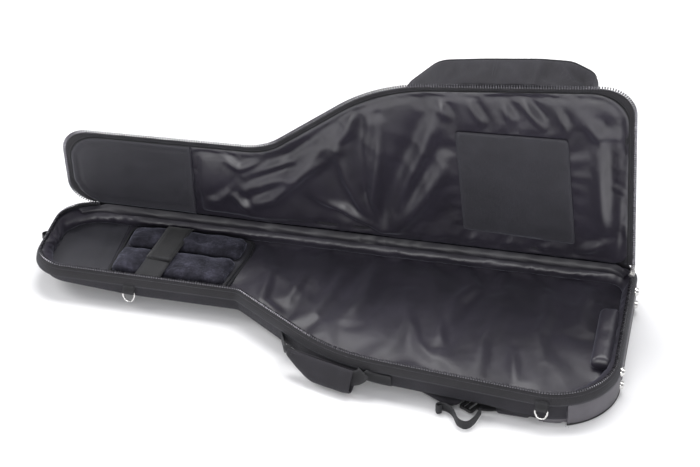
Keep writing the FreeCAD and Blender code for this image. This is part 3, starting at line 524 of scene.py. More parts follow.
def loft(name, loop, profile, where, body, slot, stands_for=(), stir=None, keep=None, thick=0.0,
         closed_profile=False):
    """A band that follows an outline; profile is a list of (distance outwards, height)."""
    rows, uv, climbed = [], [], 0.0
    chosen = loop.run(keep)
    for k, (grow, height) in enumerate(profile):
        ring = loop.at(grow)
        out, up = np.zeros(len(ring)), np.zeros(len(ring))
        if stir:
            out, up = stir(loop, k / (len(profile) - 1.0), grow)
        ring = ring + loop.normals * np.reshape(out, (-1, 1))
        if k:
            climbed += math.dist(profile[k], profile[k - 1])
        rows.append(where(ring[:, 0], ring[:, 1], height + up)[chosen])
        uv.append(np.stack([loop.along, np.full(len(ring), climbed)], axis=-1)[chosen])
    if closed_profile:
        rows.append(rows[0])
        uv.append(uv[0])
    columns = len(chosen)
    wrap = loop.closed and keep is None
    faces = grid_faces(len(rows), columns, wrap)
    if closed_profile and not wrap:
        count = len(rows) - 1
        faces.append(tuple(k * columns for k in range(count)))
        faces.append(tuple(k * columns + columns - 1 for k in range(count))[::-1])
    piece = build(name, np.concatenate(rows), faces, body, slot, stands_for, np.concatenate(uv))
    if closed_profile:
        modify(piece, "WELD", merge_threshold=1e-6)
    thicken(piece, thick) if thick else piece


def grid_in(outline, step):
    """Square grid filling an outline, with its rim drawn onto the outline."""
    low, high = outline.min(axis=0) - step, outline.max(axis=0) + step
    xs, ys = (np.arange(a, b + step, step) for a, b in zip(low, high))
    px, py = (g.ravel() for g in np.meshgrid(xs, ys, indexing="ij"))
    ends = np.roll(outline, -1, axis=0)
    odd = np.zeros(len(px), bool)
    best = np.full(len(px), 1e9)
    snap = np.stack([px, py], axis=-1)
    for (ax, ay), (bx, by) in zip(outline, ends):
        if (ax, ay) == (bx, by):
            continue
        if ay != by:
            cross = ((ay > py) != (by > py)) & (px < (bx - ax) * (py - ay) / (by - ay) + ax)
            odd ^= cross
        span = (bx - ax) ** 2 + (by - ay) ** 2
        t = np.clip(((px - ax) * (bx - ax) + (py - ay) * (by - ay)) / span, 0, 1)
        nx, ny = ax + t * (bx - ax), ay + t * (by - ay)
        far = np.hypot(px - nx, py - ny)
        near = far < best
        best = np.where(near, far, best)
        snap[near] = np.stack([nx, ny], axis=-1)[near]
    deep = odd & (best > 0.3 * step)
    index = np.arange(len(px)).reshape(len(xs), len(ys))
    quads = np.stack([index[:-1, :-1], index[1:, :-1], index[1:, 1:], index[:-1, 1:]], axis=-1).reshape(-1, 4)
    quads = quads[deep[quads].any(axis=1)]
    used = np.unique(quads)
    points = np.where(deep[:, None], np.stack([px, py], axis=-1), snap)[used]
    edge = np.where(deep, best, 0.0)[used]
    lookup = np.full(len(px), -1)
    lookup[used] = np.arange(len(used))
    return points, lookup[quads], edge


def sheet(name, outline, height, where, body, slot, stands_for=(), step=6.0, thick=0.8, look=None):
    """A fabric sheet; height(x, y, distance from the rim) is its shape."""
    points, quads, edge = grid_in(outline, step)
    x, y = points[:, 0], points[:, 1]
    placed = where(x, y, height(x, y, edge))
    piece = build(name, placed, quads.tolist(), body, slot, stands_for, points, look)
    piece["rim"] = [int(i) for i in np.flatnonzero(edge < step * 0.2)]
    if thick:
        thicken(piece, thick)
    return piece


def pad(name, outline, low, high, rim, where, body, slot, stands_for=(), step=5.0, relief=None,
        look=None, mid=0.5):
    """A stuffed, closed cushion; rim is the width of its rounded edge."""
    points, quads, edge = grid_in(outline, step)
    x, y = points[:, 0], points[:, 1]
    t = np.clip(edge / rim, 0, 1)
    round_off = np.sqrt(1 - (1 - t) ** 2)
    middle = low + (high - low) * mid
    top = middle + (high - middle) * round_off
    bottom = middle - (middle - low) * round_off
    if relief:
        top = top + relief(x, y, edge) * round_off
    inner = edge > 0
    lower_index = np.where(inner, np.cumsum(inner) - 1 + len(points), np.arange(len(points)))
    placed = np.concatenate([where(x, y, top), where(x, y, bottom)[inner]])
    uv = np.concatenate([points, points[inner]])
    faces = quads.tolist() + lower_index[quads][:, ::-1].tolist()
    return build(name, placed, faces, body, slot, stands_for, uv, look)


def smooth_path(points, step=4.0):
    """Catmull-Rom curve through the points."""
    points = np.array(points, float)
    padded = np.vstack([2 * points[0] - points[1], points, 2 * points[-1] - points[-2]])
    made = []
    for p0, p1, p2, p3 in zip(padded, padded[1:], padded[2:], padded[3:]):
        for t in np.linspace(0, 1, max(2, int(np.linalg.norm(p2 - p1) / step)), endpoint=False):
            made.append(0.5 * (2 * p1 + (p2 - p0) * t + (2 * p0 - 5 * p1 + 4 * p2 - p3) * t * t
                               + (3 * p1 - p0 - 3 * p2 + p3) * t ** 3))
    made.append(points[-1])
    return np.array(made)


def ribbon(name, path, across, width, thickness, body, slot, stands_for=(), widths=None,
           curved=True):
    """Flat webbing with rounded edges along a path; across is the direction of its width."""
    path = smooth_path(path) if curved else np.array(path, float)
    ahead = unit(np.gradient(path, axis=0))
    across = unit(np.broadcast_to(np.asarray(across, float), path.shape))
    across = unit(across - ahead * (across * ahead).sum(axis=1, keepdims=True))
    up = np.cross(across, ahead)
    half = np.full(len(path), width / 2) if widths is None else np.interp(
        np.linspace(0, 1, len(path)), np.linspace(0, 1, len(widths)), widths) / 2
    section = [(s, 0.5 if abs(s) < 0.99 else 0.28) for s in np.linspace(-1, 1, 6)]
    section += [(s, -t) for s, t in section[::-1]]
    rows, uv = [], []
    walked = distances(path)
    for i, point in enumerate(path):
        rows.append([point + across[i] * s * half[i] + up[i] * t * thickness for s, t in section])
        uv.append([(walked[i], s * half[i]) for s, t in section])
    count = len(section)
    faces = grid_faces(len(path), count, True)
    faces += [tuple(range(count))[::-1], tuple(range((len(path) - 1) * count, len(path) * count))]
    build(name, np.concatenate(rows), faces, body, slot, stands_for, np.concatenate(uv))


def resample(points, pitch):
    """Evenly spaced points on a path, and how far along it they are."""
    points = np.asarray(points, float)
    walked = distances(points)
    marks = np.arange(pitch / 2, walked[-1], pitch)
    return np.stack([np.interp(marks, walked, points[:, k]) for k in range(3)], axis=-1), marks


def scatter(name, points, ahead, up, shape, shape_faces, body, slot, stands_for=(), look=None, smooth=True):
    """The same small shape at every point; shape rows are (ahead, across, up)."""
    ahead = unit(ahead)
    up = unit(up - ahead * (up * ahead).sum(axis=1, keepdims=True))
    across = np.cross(up, ahead)
    shape = np.asarray(shape, float)
    if shape.ndim == 2:
        shape = np.broadcast_to(shape, (len(points), *shape.shape))
    placed = (points[:, None] + shape[..., 0:1] * ahead[:, None] + shape[..., 1:2] * across[:, None]
              + shape[..., 2:3] * up[:, None])
    count = shape.shape[1]
    faces = [tuple(i * count + k for k in face) for i in range(len(points)) for face in shape_faces]
    uv = (shape[..., :2]).reshape(-1, 2)
    build(name, placed.reshape(-1, 3), faces, body, slot, stands_for, uv, look, smooth)


STITCH = [(-1, 0, 0), (-0.45, -0.5, 0.2), (-0.45, 0, 0.7), (-0.45, 0.5, 0.2),
          (0.45, -0.5, 0.2), (0.45, 0, 0.7), (0.45, 0.5, 0.2), (1, 0, 0),
          (-0.45, 0, -0.4), (0.45, 0, -0.4)]
STITCH_FACES = [(0, 1, 2), (0, 2, 3), (1, 4, 5, 2), (2, 5, 6, 3), (7, 5, 4), (7, 6, 5),
                (0, 3, 8), (0, 8, 1), (3, 6, 9, 8), (8, 9, 4, 1), (7, 9, 6), (7, 4, 9)]


def stitches(name, path, up, body, pitch=4.2, length=3.0, girth=0.55):
    """A row of thread stitches that lies on a path."""
    points, _ = resample(path, pitch)
    ahead = np.gradient(points, axis=0)
    shape = np.array(STITCH) * (length / 2, girth, girth)
    scatter(name, points, ahead, np.broadcast_to(np.asarray(up, float), points.shape), shape,
            STITCH_FACES, body, "webbing", look="thread")


TOOTH = [(-2.4, -0.1), (-2.6, 0.8), (-1.0, 1.15), (2.0, 1.2), (3.1, 0.95), (3.4, 0.3), (2.4, -0.1)]


def zip_teeth(name, loop, where, low, high, body, stands_for, pitch=4.5):
    """Moulded teeth that point outwards from the tape's edge."""
    ring = loop.base
    line = where(ring[:, 0], ring[:, 1], np.full(len(ring), low))
    over = where(ring[:, 0], ring[:, 1], np.full(len(ring), high)) - line
    grown = loop.at(1.0)
    outward = where(grown[:, 0], grown[:, 1], np.full(len(ring), low)) - line
    points, marks = resample(line, pitch)
    walked = np.concatenate([[0], np.cumsum(np.linalg.norm(np.diff(line, axis=0), axis=1))])
    out = np.stack([np.interp(marks, walked, outward[:, k]) for k in range(3)], axis=-1)
    up = np.stack([np.interp(marks, walked, over[:, k]) for k in range(3)], axis=-1)
    tall = np.linalg.norm(over[0])
    shape, count = [], len(TOOTH)
    for a in (-0.5, 0.5):
        shape += [(reach, a * (1.7 + 0.4 * (reach > 1)), tall * rise) for reach, rise in TOOTH]
    faces = [tuple(range(count)), tuple(range(2 * count - 1, count - 1, -1))]
    faces += [(k, k + count, (k + 1) % count + count, (k + 1) % count) for k in range(count)]
    scatter(name, points, out, up, shape, faces, body, "zip_teeth", stands_for, smooth=False)


def cord(name, points, radius, body, slot, stands_for=(), closed=False, look=None):
    """A round cord along a path."""
    points = np.asarray(points, float)
    ahead = unit(np.roll(points, -1, 0) - np.roll(points, 1, 0)) if closed else unit(
        np.gradient(points, axis=0))
    up = np.array((0, 0, 1.0)) + 0 * points
    up = np.where(np.abs((up * ahead).sum(1, keepdims=True)) > 0.95, np.array((0, 1.0, 0)), up)
    side = unit(np.cross(ahead, up))
    up = np.cross(side, ahead)
    ring = [(math.cos(a), math.sin(a)) for a in np.linspace(0, 2 * math.pi, 9)[:-1]]
    rows = [points + radius * (c * side + s * up) for c, s in ring]
    stacked = np.stack(rows, axis=1)
    faces = grid_faces(len(points) + (1 if closed else 0), 8, True)
    total = len(points) * 8
    faces = [tuple(i % total for i in f) for f in faces]
    if not closed:
        faces += [tuple(range(8))[::-1], tuple(range(total - 8, total))]
    walked = np.concatenate([[0], np.cumsum(np.linalg.norm(np.diff(points, axis=0), axis=1))])
    uv = [(w, k * radius * 0.8) for w in walked for k in range(8)]
    build(name, stacked.reshape(-1, 3), faces, body, slot, stands_for, uv, look)


# ---------------------------------------------------------------- soft-body settling

SOFT = []


def settle_later(piece, grow, pressure, cap, pinned=None, bend=0.5):
    """Queue a piece for the cloth simulation, with how far its points may move."""
    SOFT.append((piece, grow, pressure, cap, pinned, bend))


def settle_all(frames=18):
    """Simulates every queued piece at once, then freezes the result into its mesh."""
    scene = bpy.context.scene
    if not SOFT:
        return
    for piece, grow, pressure, cap, pinned, bend in SOFT:
        modifier = piece.modifiers.new("cloth", "CLOTH")
        cloth = modifier.settings
        cloth.quality = 5
        cloth.mass = 0.25
        cloth.tension_stiffness = cloth.compression_stiffness = 12
        cloth.shear_stiffness = 4
        cloth.bending_stiffness = bend
        cloth.air_damping = 2
        cloth.shrink_min = -grow
        cloth.use_pressure = True
        cloth.uniform_pressure_force = pressure
        cloth.effector_weights.gravity = 0
        modifier.collision_settings.use_collision = False
        if pinned is not None:
            group = piece.vertex_groups.new(name="seam")
            group.add([int(i) for i in pinned], 1.0, "REPLACE")
            cloth.vertex_group_mass = "seam"
        while piece.modifiers[0].type != "CLOTH":
            with bpy.context.temp_override(object=piece):
                bpy.ops.object.modifier_move_up(modifier="cloth")
        modifier.point_cache.frame_start, modifier.point_cache.frame_end = 1, frames
    hidden = [(m, m.show_viewport) for p in SOFT for m in p[0].modifiers if m.type != "CLOTH"]
    for m, _ in hidden:
        m.show_viewport = False
    for number in range(1, frames + 1):
        scene.frame_set(number)
    graph = bpy.context.evaluated_depsgraph_get()
    for piece, _, _, cap, _, _ in SOFT:
        count = len(piece.data.vertices)
        before, after = np.empty(count * 3), np.empty(count * 3)
        piece.data.vertices.foreach_get("co", before)
        piece.evaluated_get(graph).data.vertices.foreach_get("co", after)
        move = (after - before).reshape(-1, 3)
        far = np.linalg.norm(move, axis=1, keepdims=True)
        move = move * (np.tanh(far / (cap * MM)) * cap * MM / np.maximum(far, 1e-9))
        piece.data.vertices.foreach_set("co", (before + move.ravel()).astype(np.float32))
        piece.data.update()
        piece.modifiers.remove(piece.modifiers["cloth"])
    for m, shown in hidden:
        m.show_viewport = shown
    scene.frame_set(1)


# ---------------------------------------------------------------- tray

WALL_OUTSIDE = [(6.2, 14.6), (7.6, 15.4), (8.5, 19), (9.0, 26), (9.2, 34), (9.0, 40), (8.4, 46),
                (7.4, 51.0), (6.0, 53.4), (4.2, 54.4)]
WALL_INSIDE = [(-7.5, 29.0), (-10.5, 30.5), (-12.5, 34), (-13.0, 39), (-12.4, 44), (-10.6, 49),
               (-7.6, 53.2), (-3.4, 56.4), (1.8, 59.6)]
GUARD_START = 455
HINGE_REACH = 176
HINGE_HEAD = -455
TUCK, TUCK_LIFT = 16.0, 6.0
NECK_TUCK = ((-530, 1.5), (-450, 1.0), (-350, 0.5), (-150, 0.5), (20, 0.2), (120, 0.3), (320, 0.3), (380, 0.0))


def neck_tuck(x):
    """How much the foot of the wall leans under the bag: most at the headstock, none at the tail."""
    return np.interp(x, *zip(*NECK_TUCK))


def wall_outside_stir(loop, level, grow):
    x, s = loop.base[:, 0], loop.along
    soft = math.sin(math.pi * min(1.0, level * 1.05))
    out = 0.55 * soft * ripples(s, np.full(len(s), level * 40), 55, 3, 0.0, 1.2)
    out -= 0.9 * soft * np.exp(-((x + 70) / 3.0) ** 2) + 0.9 * soft * np.exp(-((x - 146) / 3.0) ** 2)
    low = neck_tuck(x) * (1 - level) ** 1.5
    return np.where(x > GUARD_START - 12, np.minimum(0, 7.7 - grow), out - TUCK * low), TUCK_LIFT * low


def wall_inside_stir(loop, level, grow):
    x, y, s = loop.base[:, 0], loop.base[:, 1], loop.along
    soft = math.sin(math.pi * level) ** 0.8
    high = np.full(len(s), level * 34.0)
    crush = creases(s, high, 46, 21, 0.15, 0.6) - 0.55
    fine = creases(s, high, 17, 27, 0.5, 0.7) - 0.55
    head = np.clip((-430 - x) / 60, 0, 1)
    rear = np.clip((y - 150) / 30, 0, 1) * np.clip((505 - x) / 20, 0, 1)
    out = -soft * ((2.6 + 3.2 * head) * crush + (0.9 + 1.6 * head) * fine)
    out -= rear * 6.0 * math.exp(-((level - 0.62) / 0.26) ** 2) * (1 + 0.25 * ripples(s, high, 120, 8))
    return out, -0.8 * soft * ripples(s, high, 50, 30) - rear * 2.0 * level


FLOOR_FOLDS = [
    (13, 5.0, [(70, 160), (65, 40), (45, -25)]),
    (11, 4.5, [(18, 135), (5, 60), (-10, -20)]),
    (12, 5.5, [(222, 182), (250, 120), (228, 70), (216, -40)]),
    (11, 5.0, [(378, 130), (392, 60), (384, -5), (402, -75)]),
    (8, 3.5, [(160, 0), (180, -62), (210, -100)]),
    (8, 3.0, [(200, 20), (212, -25), (228, -70)]),
    (8, 3.5, [(346, -55), (362, -140)]),
    (9, 4.0, [(-118, 95), (-112, 0), (-70, -30)]),
    (8, 3.0, [(-52, 95), (-68, 5)]),
    (7, 2.5, [(298, 185), (292, 130)]),
    (14, 4.0, [(140, 80), (150, -10), (143, -90)]),
    (13, 4.5, [(458, 160), (446, 90), (452, 20)]),
    (12, 4.0, [(310, 60), (290, -40), (300, -130)]),
]


def floor_shape(x, y, edge):
    calm = np.clip((x + 170) / 60, 0.15, 1) * np.clip(edge / 12, 0, 1)
    shape = 1.25 * folds(x, y, FLOOR_FOLDS)
    shape += 2.0 * np.exp(-((edge - 16) / 15) ** 2) * (creases(x, 0.3 * y, 34, 43, 0.0, 0.3) - 0.45)
    shape += 2.2 * (creases(x, y, 150, 41, 0.25, 0.4) - 0.5) + 0.4 * (creases(x, y, 48, 47, 0.2, 0.6) - 0.5)
    return 30.4 + calm * shape + 2.2 * np.exp(-edge / 7.0)


def patch_floor_shape(x, y, edge):
    groove = 1.6 * np.exp(-((x + 428 + 0.05 * (y - 90)) / 3.0) ** 2)
    return 30.2 + 1.6 * np.clip(edge / 25, 0, 1) - groove + 0.5 * ripples(x, y, 70, 5)


def make_tray():
    loft("tray_wall", TRAY, WALL_OUTSIDE, on_tray, "tray", "outer_nylon",
         ("side_wall_cover", "side_wall_foam"), wall_outside_stir, thick=1.2)
    loft("tray_wall_lining", TRAY, WALL_INSIDE, on_tray, "tray", "satin_lining",
         ("side_wall_lining",), wall_inside_stir, thick=-0.8)
    floor = sheet("tray_floor_lining", clip(TRAY.at(-6.6), FLOOR_SEAM, True), floor_shape, on_tray,
                  "tray", "satin_lining", ("floor_lining", "back_panel_foam"), look="satin_floor")
    settle_later(floor, 0.012, 0.30, 5.0, floor["rim"], 6.0)
    sheet("tray_headstock_patch", clip(TRAY.at(-6.6), FLOOR_SEAM - 0.5, False), patch_floor_shape, on_tray,
          "tray", "smooth_patch", ("headstock_floor_patch",))
    tape = [(10.0, 43.0), (9.7, 47.0), (8.9, 52.0), (7.4, 56.4), (5.2, 59.4), (2.4, 61.8), (-1.2, 63.0),
            (-1.4, 62.0), (1.6, 60.8), (4.0, 59.0), (6.2, 55.4), (7.7, 51.0), (8.6, 46.0), (8.9, 43.0)]
    loft("tray_tape", TRAY_ZIP, tape, on_tray, "tray", "zip_tape", ("tray_zip_tape",),
         lambda loop, level, grow: (0.25 * ripples(loop.along, 0 * loop.along, 70, 9), 0 * loop.along),
         closed_profile=True)
    zip_teeth("tray_teeth", TRAY_ZIP, on_tray, 62.2, 65.2, "tray", ("tray_zip_teeth",))
    for number, (grow, height) in enumerate(((9.95, 45.0), (6.5, 58.3))):
        ring = TRAY_ZIP.at(grow)
        out = TRAY_ZIP.normals[:, :1] * (1, 0, 0) + TRAY_ZIP.normals[:, 1:] * (0, 1, 0)
        path = on_tray(ring[:, 0], ring[:, 1], height)
        points, marks = resample(path, 4.4)
        up = np.stack([np.interp(marks, TRAY_ZIP.along, out[:, k]) for k in range(3)], axis=-1)
        shape = np.array(STITCH) * (1.5, 0.5, 0.5)
        scatter("tray_tape_stitch_%d" % number, points, np.gradient(points, axis=0), up + (0, 0, 0.8),
                shape, STITCH_FACES, "tray", "webbing", look="thread")
    make_guard()
    tuck = neck_tuck(TRAY.base[:, 0])[:, None]
    sheet("back_panel", TRAY.at(6.4) - TUCK * tuck * TRAY.normals,
          lambda x, y, e: 14.9 + TUCK_LIFT * neck_tuck(x) - 0.9 * np.clip(e / 20, 0, 1)
          + 0.3 * ripples(x, y, 90, 12), on_tray, "tray", "outer_nylon", ("back_panel_cover",),
          step=9.0, thick=1.4)
    chosen = TRAY.run(lambda ring: ring[:, 0] < 412)
    ring = (TRAY.at(7.2) - TUCK * tuck * TRAY.normals)[chosen]
    cord("back_piping", on_tray(ring[:, 0], ring[:, 1], 15.6 + TUCK_LIFT * tuck[chosen, 0]), 1.7, "tray",
         "webbing", ("bottom_piping",))


def make_guard():
    profile = [(7.9, 1.4), (9.5, 2.6), (10.6, 8), (11.0, 18), (10.9, 28), (10.6, 37), (10.1, 42.5),
               (8.9, 44.6)]

    def relief(loop, level, grow):
        edge = np.exp(-((loop.base[:, 0] - GUARD_START - 6) / 1.6) ** 2)
        return -0.5 * edge + 0.15 * ripples(loop.along, 0 * loop.along + level * 50, 60, 14), 0 * loop.along

    loft("guard_skin", TRAY, profile, on_tray, "tray", "guard_leather", ("tail_guard",), relief,
         lambda ring: ring[:, 0] > GUARD_START, 1.5)
    for side in (-1, 1):
        for number, x in enumerate((GUARD_START + 3.5, GUARD_START + 8.5)):
            wall = np.array([[x, -157 - (x - 50) * 53 / 475] if side < 0 else [x, HINGE_Y]])
            heights = np.array([9, 18, 28, 37, 42])
            out = np.interp(heights, [p[1] for p in profile], [p[0] for p in profile])
            path = np.stack([np.full(len(heights), x), wall[0, 1] + side * (out + 0.15), heights], axis=-1)
            stitches("guard_stitch_%s_%d" % ("near" if side < 0 else "far", number), path, (0, side, 0),
                     "tray")
    chosen = TRAY.run(lambda ring: ring[:, 0] > GUARD_START - 4)
    ring = TRAY.at(9.4)[chosen]
    cord("guard_piping", on_tray(ring[:, 0], ring[:, 1], 3.0), 1.7, "tray", "webbing", ("tail_piping",))
    outline = clip(TRAY.at(6.0), 412, True)
    pad("tail_base", outline, 0.2, 14.0, 10, on_tray, "tray", "guard_leather", ("tail_base_pad",), 7.0)


def hinge_run(grow):
    """The stretch of the tray's outline along the hinge and round its two corners."""
    chosen = TRAY.run(lambda ring: ring[:, 1] > HINGE_REACH)
    return TRAY.at(grow)[chosen], TRAY.at(grow + 1.0)[chosen] - TRAY.at(grow)[chosen], TRAY.along[chosen]


def make_hinge():
    """Lining and outer fabric that bend across the hinge and close both of its ends."""
    inner = [(-9.9, 52.5), (-9.8, 55.0), (-9.5, 57.6), (-8.9, 60.2), (-7.9, 62.8), (-5.9, 65.4),
             (-3.2, 68.4)]
    outer = [(7.6, 46.0), (8.4, 53.0), (8.9, 60.0), (8.8, 66.0), (8.0, 71.0), (6.9, 76.0), (6.4, 82.0)]
    pieces = []
    # The hinge lining takes the darker copy of the satin: painted shade.
    for name, slot, look, profile, stir in (("hinge_lining", "satin_lining", "satin_hinge_painted_shade", inner, 1.0),
                                            ("hinge_outer_band", "outer_nylon", None, outer, 0.15)):
        rows, uv = [], []
        for k, (grow, height) in enumerate(profile):
            level = k / (len(profile) - 1.0)
            soft = stir * math.sin(math.pi * level)
            points, outwards, along = hinge_run(grow)
            x = points[:, 0]
            wave = 1.5 * (creases(x, 30 * level + 0 * x, 90, 51, 1.45, 0.25) - 0.5)
            wave += 0.8 * ripples(x, 25 * level + 0 * x, 60, 53)
            wave += 2.2 * np.exp(-((x - GATHER[0]) / 60) ** 2) * ripples(x, 0 * x + 9 * level, 24, 55)
            side = np.clip((HINGE_Y + grow - points[:, 1]) / 7.0, 0, 1)
            side = np.maximum(side, np.clip((HINGE_HEAD - x) / 25.0, 0, 1))
            rise = height - np.maximum(0, height - 59.5) * np.sqrt(side)
            points = points - outwards * (soft * (1.2 + wave))[:, None]
            rows.append(on_tray(points[:, 0], points[:, 1], rise + soft * wave * 0.6))
            uv.append(np.stack([along, 0 * along + 5 * k], axis=-1))
        piece = build(name, np.concatenate(rows), grid_faces(len(profile), len(rows[0]), False), None, slot,
                      ("hinge_strip",) if slot == "satin_lining" else (), np.concatenate(uv), look=look)
        thicken(piece, 0.8, 0.0)
        pieces.append(piece)
    refine(pieces[0])
    return pieces


# ---------------------------------------------------------------- lid

GATHER = (75, 8)
LID_SEAM = -9.6
HINGE_DROP = -2.5
LID_FOLDS = [
    # fan from the gather at the hinge, as (x, distance from the hinge)
    (9, 6.5, [GATHER, (57, 100), (66, 190), (70, 275)]),
    (13, 8.0, [GATHER, (102, 85), (125, 160), (145, 215), (172, 310)]),
    (9, 6.0, [GATHER, (42, 34), (0, 62), (-40, 72)]),
    (14, 7.0, [(88, 8), (150, 120), (188, 205)]),
    (10, 5.0, [GATHER, (38, 70), (10, 130), (-8, 200)]),
    # folds that climb the flare towards the neck
    (11, 6.5, [(-180, 80), (-95, 125), (-25, 210), (-8, 265)]),
    (10, 5.5, [(-182, 42), (-130, 70), (-60, 145), (-5, 200)]),
    (8, 4.5, [(-180, 112), (-90, 160), (-30, 225)]),
    (6, 3.5, [(-222, 152), (-190, 130), (-150, 146)]),
    (6, 3.0, [(-252, 46), (-230, 54), (-206, 84)]),
    (6, 3.5, [(-202, 68), (-178, 38)]),
    (10, 5.0, [(-18, 190), (12, 250), (22, 300)]),
    (9, 4.5, [(46, 120), (48, 220), (56, 300)]),
    # tail side
    (10, 5.0, [(452, 270), (458, 180), (466, 80)]),
    (8, 5.0, [(493, 260), (500, 150), (507, 50)]),
    (12, 4.0, [(425, 330), (450, 290), (480, 300)]),
    # short puckers above and below the inner pocket
    (6, 4.0, [(176, 332), (188, 296)]), (6, 4.0, [(226, 340), (248, 292)]),
    (7, 4.0, [(284, 340), (298, 304)]), (7, 4.5, [(316, 348), (352, 300)]),
    (6, 3.5, [(380, 340), (392, 300)]), (6, 3.5, [(222, 6), (240, 36)]),
    (6, 3.5, [(290, 6), (306, 34)]), (7, 3.5, [(350, 4), (372, 30)]), (8, 4, [(430, 20), (470, 50)]),
]
POCKET_PATCH = Loop([(219, 144, 5), (202, -79, 5), (397, -87, 5), (419, 151, 5)], step=7.0)


def away_from(outline_points, x, y, reach):
    """0 inside an outline, rising to 1 at the given distance outside it."""
    best = np.full(np.shape(x), 1e9)
    odd = np.zeros(np.shape(x), bool)
    for (ax, ay), (bx, by) in zip(outline_points, np.roll(outline_points, -1, axis=0)):
        span = max(1e-9, (bx - ax) ** 2 + (by - ay) ** 2)
        t = np.clip(((x - ax) * (bx - ax) + (y - ay) * (by - ay)) / span, 0, 1)
        best = np.minimum(best, np.hypot(x - ax - t * (bx - ax), y - ay - t * (by - ay)))
        if ay != by:
            odd ^= ((ay > y) != (by > y)) & (x < (bx - ax) * (y - ay) / (by - ay) + ax)
    return np.where(odd, 0.0, np.clip(best / reach, 0, 1))


def lid_face():
    """Outline of the lid's lining: inside the zip tape, and down to the hinge on its far side."""
    points = LID.at(LID_SEAM)
    points[:, 1] += (HINGE_DROP - LID_SEAM) * np.clip((points[:, 1] - 150) / 30, 0, 1)
    return points


def rim_roll(edge):
    """The padded roll that the lid's lining makes just inside the zip tape."""
    return 2.6 * np.exp(-((edge - 4.5) / 3.0) ** 2) - 1.2 * np.exp(-((edge - 11.5) / 2.2) ** 2)


def lid_lining_shape(x, y, edge):
    d = HINGE_Y - y
    shape = 1.9 * folds(x, d, LID_FOLDS)
    shape += 1.8 * (creases(x, d, 150, 61, 0.2, 0.35) - 0.5) + 0.4 * (creases(x, d, 50, 67, 0.1, 0.5) - 0.5)
    shape += 9.0 * np.clip((-60 - x) / 120, 0, 1) * np.clip(1 - d / 165, 0, 1) * np.clip(d / 20, 0, 1)
    rim = np.exp(-edge / 16.0) * 2.4 * (creases(x, d, 24, 71, 0.0, 3.0) - 0.3)
    calm = away_from(POCKET_PATCH.base, x, y, 22.0)
    fade = np.clip((edge - 8.0) / 12.0, 0, 1)
    puff = 1.5 * np.clip(edge / 20.0, 0, 1)
    ruffle = 1 + 0.35 * ripples(x, d, 26, 73)
    return 0.9 - fade * calm * (shape + rim + puff) - rim_roll(edge) * ruffle


def make_lid():
    shell = [(-17.0, 2.3), (-11.5, 2.1), (-10.4, 3.2), (-12.4, 7), (-16.6, 11.5), (-21.6, 16), (-26.5, 19.2),
             (-30.5, 20.6)]
    loft("lid_shell", LID, shell, on_lid, "lid", "outer_nylon", ("lid_cover", "lid_foam"),
         lambda loop, level, grow: (0.4 * math.sin(math.pi * level) * ripples(
             loop.along, 0 * loop.along + level * 30, 50, 75), 0 * loop.along), thick=-1.2)
    sheet("lid_back", LID.at(-29.2),
          lambda x, y, e: 20.4 + 2.0 * (1 - np.exp(-e / 30)) + 0.5 * ripples(x, y, 130, 77)
          + 0.8 * (creases(x, y, 90, 78, 0.4, 0.8) - 0.5) * np.clip(e / 20, 0, 1),
          on_lid, "lid", "outer_nylon", step=8.0, thick=1.2)
    ring = LID.at(-28.6)
    cord("lid_back_piping", on_lid(ring[:, 0], ring[:, 1], 20.4), 1.7, "lid", "webbing", closed=True)
    lining = sheet("lid_satin", clip(lid_face(), PATCH_SEAM + 0.2, True), lid_lining_shape, on_lid,
                   "lid", "satin_lining", ("lid_lining",), thick=0.8, look="satin_lid")
    points = np.array([v.co for v in lining.data.vertices]) / MM
    d = (points[:, 2] - HINGE_Z) * LID_SIN - (points[:, 1] - HINGE_Y) * LID_COS
    under = away_from(POCKET_PATCH.base, points[:, 0], HINGE_Y - d, 3.0) < 0.5
    seams = sorted(set(lining["rim"]) | set(np.flatnonzero(under).tolist()))
    settle_later(lining, 0.012, -0.30, 5.0, seams, 6.0)
    sheet("lid_patch", clip(lid_face(), PATCH_SEAM - 0.2, False),
          lambda x, y, e: 0.6 - 1.6 * np.clip(e / 16, 0, 1) - rim_roll(e) - 0.35 * ripples(x, y,
                                                                                           110, 79), on_lid,
          "lid", "smooth_patch", ("lid_headstock_patch",))
    ys = np.linspace(31.5, 186.5, 38)
    seam = on_lid(PATCH_SEAM + 0.9 * ripples(ys, 0 * ys, 40, 5), ys, -0.9)
    cord("lid_patch_seam", seam, 1.3, "lid", "satin_lining")
    stitches("lid_patch_seam_stitch", seam + (-4, -0.6, 0), (0, -1, 0), "lid")
    tape = [(-16.0, 1.4), (-10.0, 0.4), (-5.0, 0.2), (-1.2, 0.6), (-1.2, 1.8), (-5.0, 1.5), (-10.0, 1.7),
            (-16.0, 2.2)]
    loft("lid_tape", LID_ZIP, tape, on_lid, "lid", "zip_tape", ("lid_zip_tape",),
         lambda loop, level, grow: (0 * loop.along, 0.3 * ripples(loop.along, 0 * loop.along, 60, 81)),
         closed_profile=True)
    zip_teeth("lid_teeth", LID_ZIP, on_lid, 0.2, 3.0, "lid", ("lid_zip_teeth",))
    ring = LID_ZIP.at(LID_SEAM - 0.4)
    cord("lid_seam_roll", on_lid(ring[:, 0], ring[:, 1], -0.6), 1.2, "lid", "webbing", ("lid_seam_cord",))
    for number, grow in enumerate((-8.0,)):
        ring = LID_ZIP.at(grow)
        stitches("lid_tape_stitch_%d" % number, on_lid(ring[:, 0], ring[:, 1], -0.2),
                 on_lid(0, 0, -1)- on_lid(0, 0, 0), "lid", 4.4, 3.0, 0.5)
    make_inner_pocket()


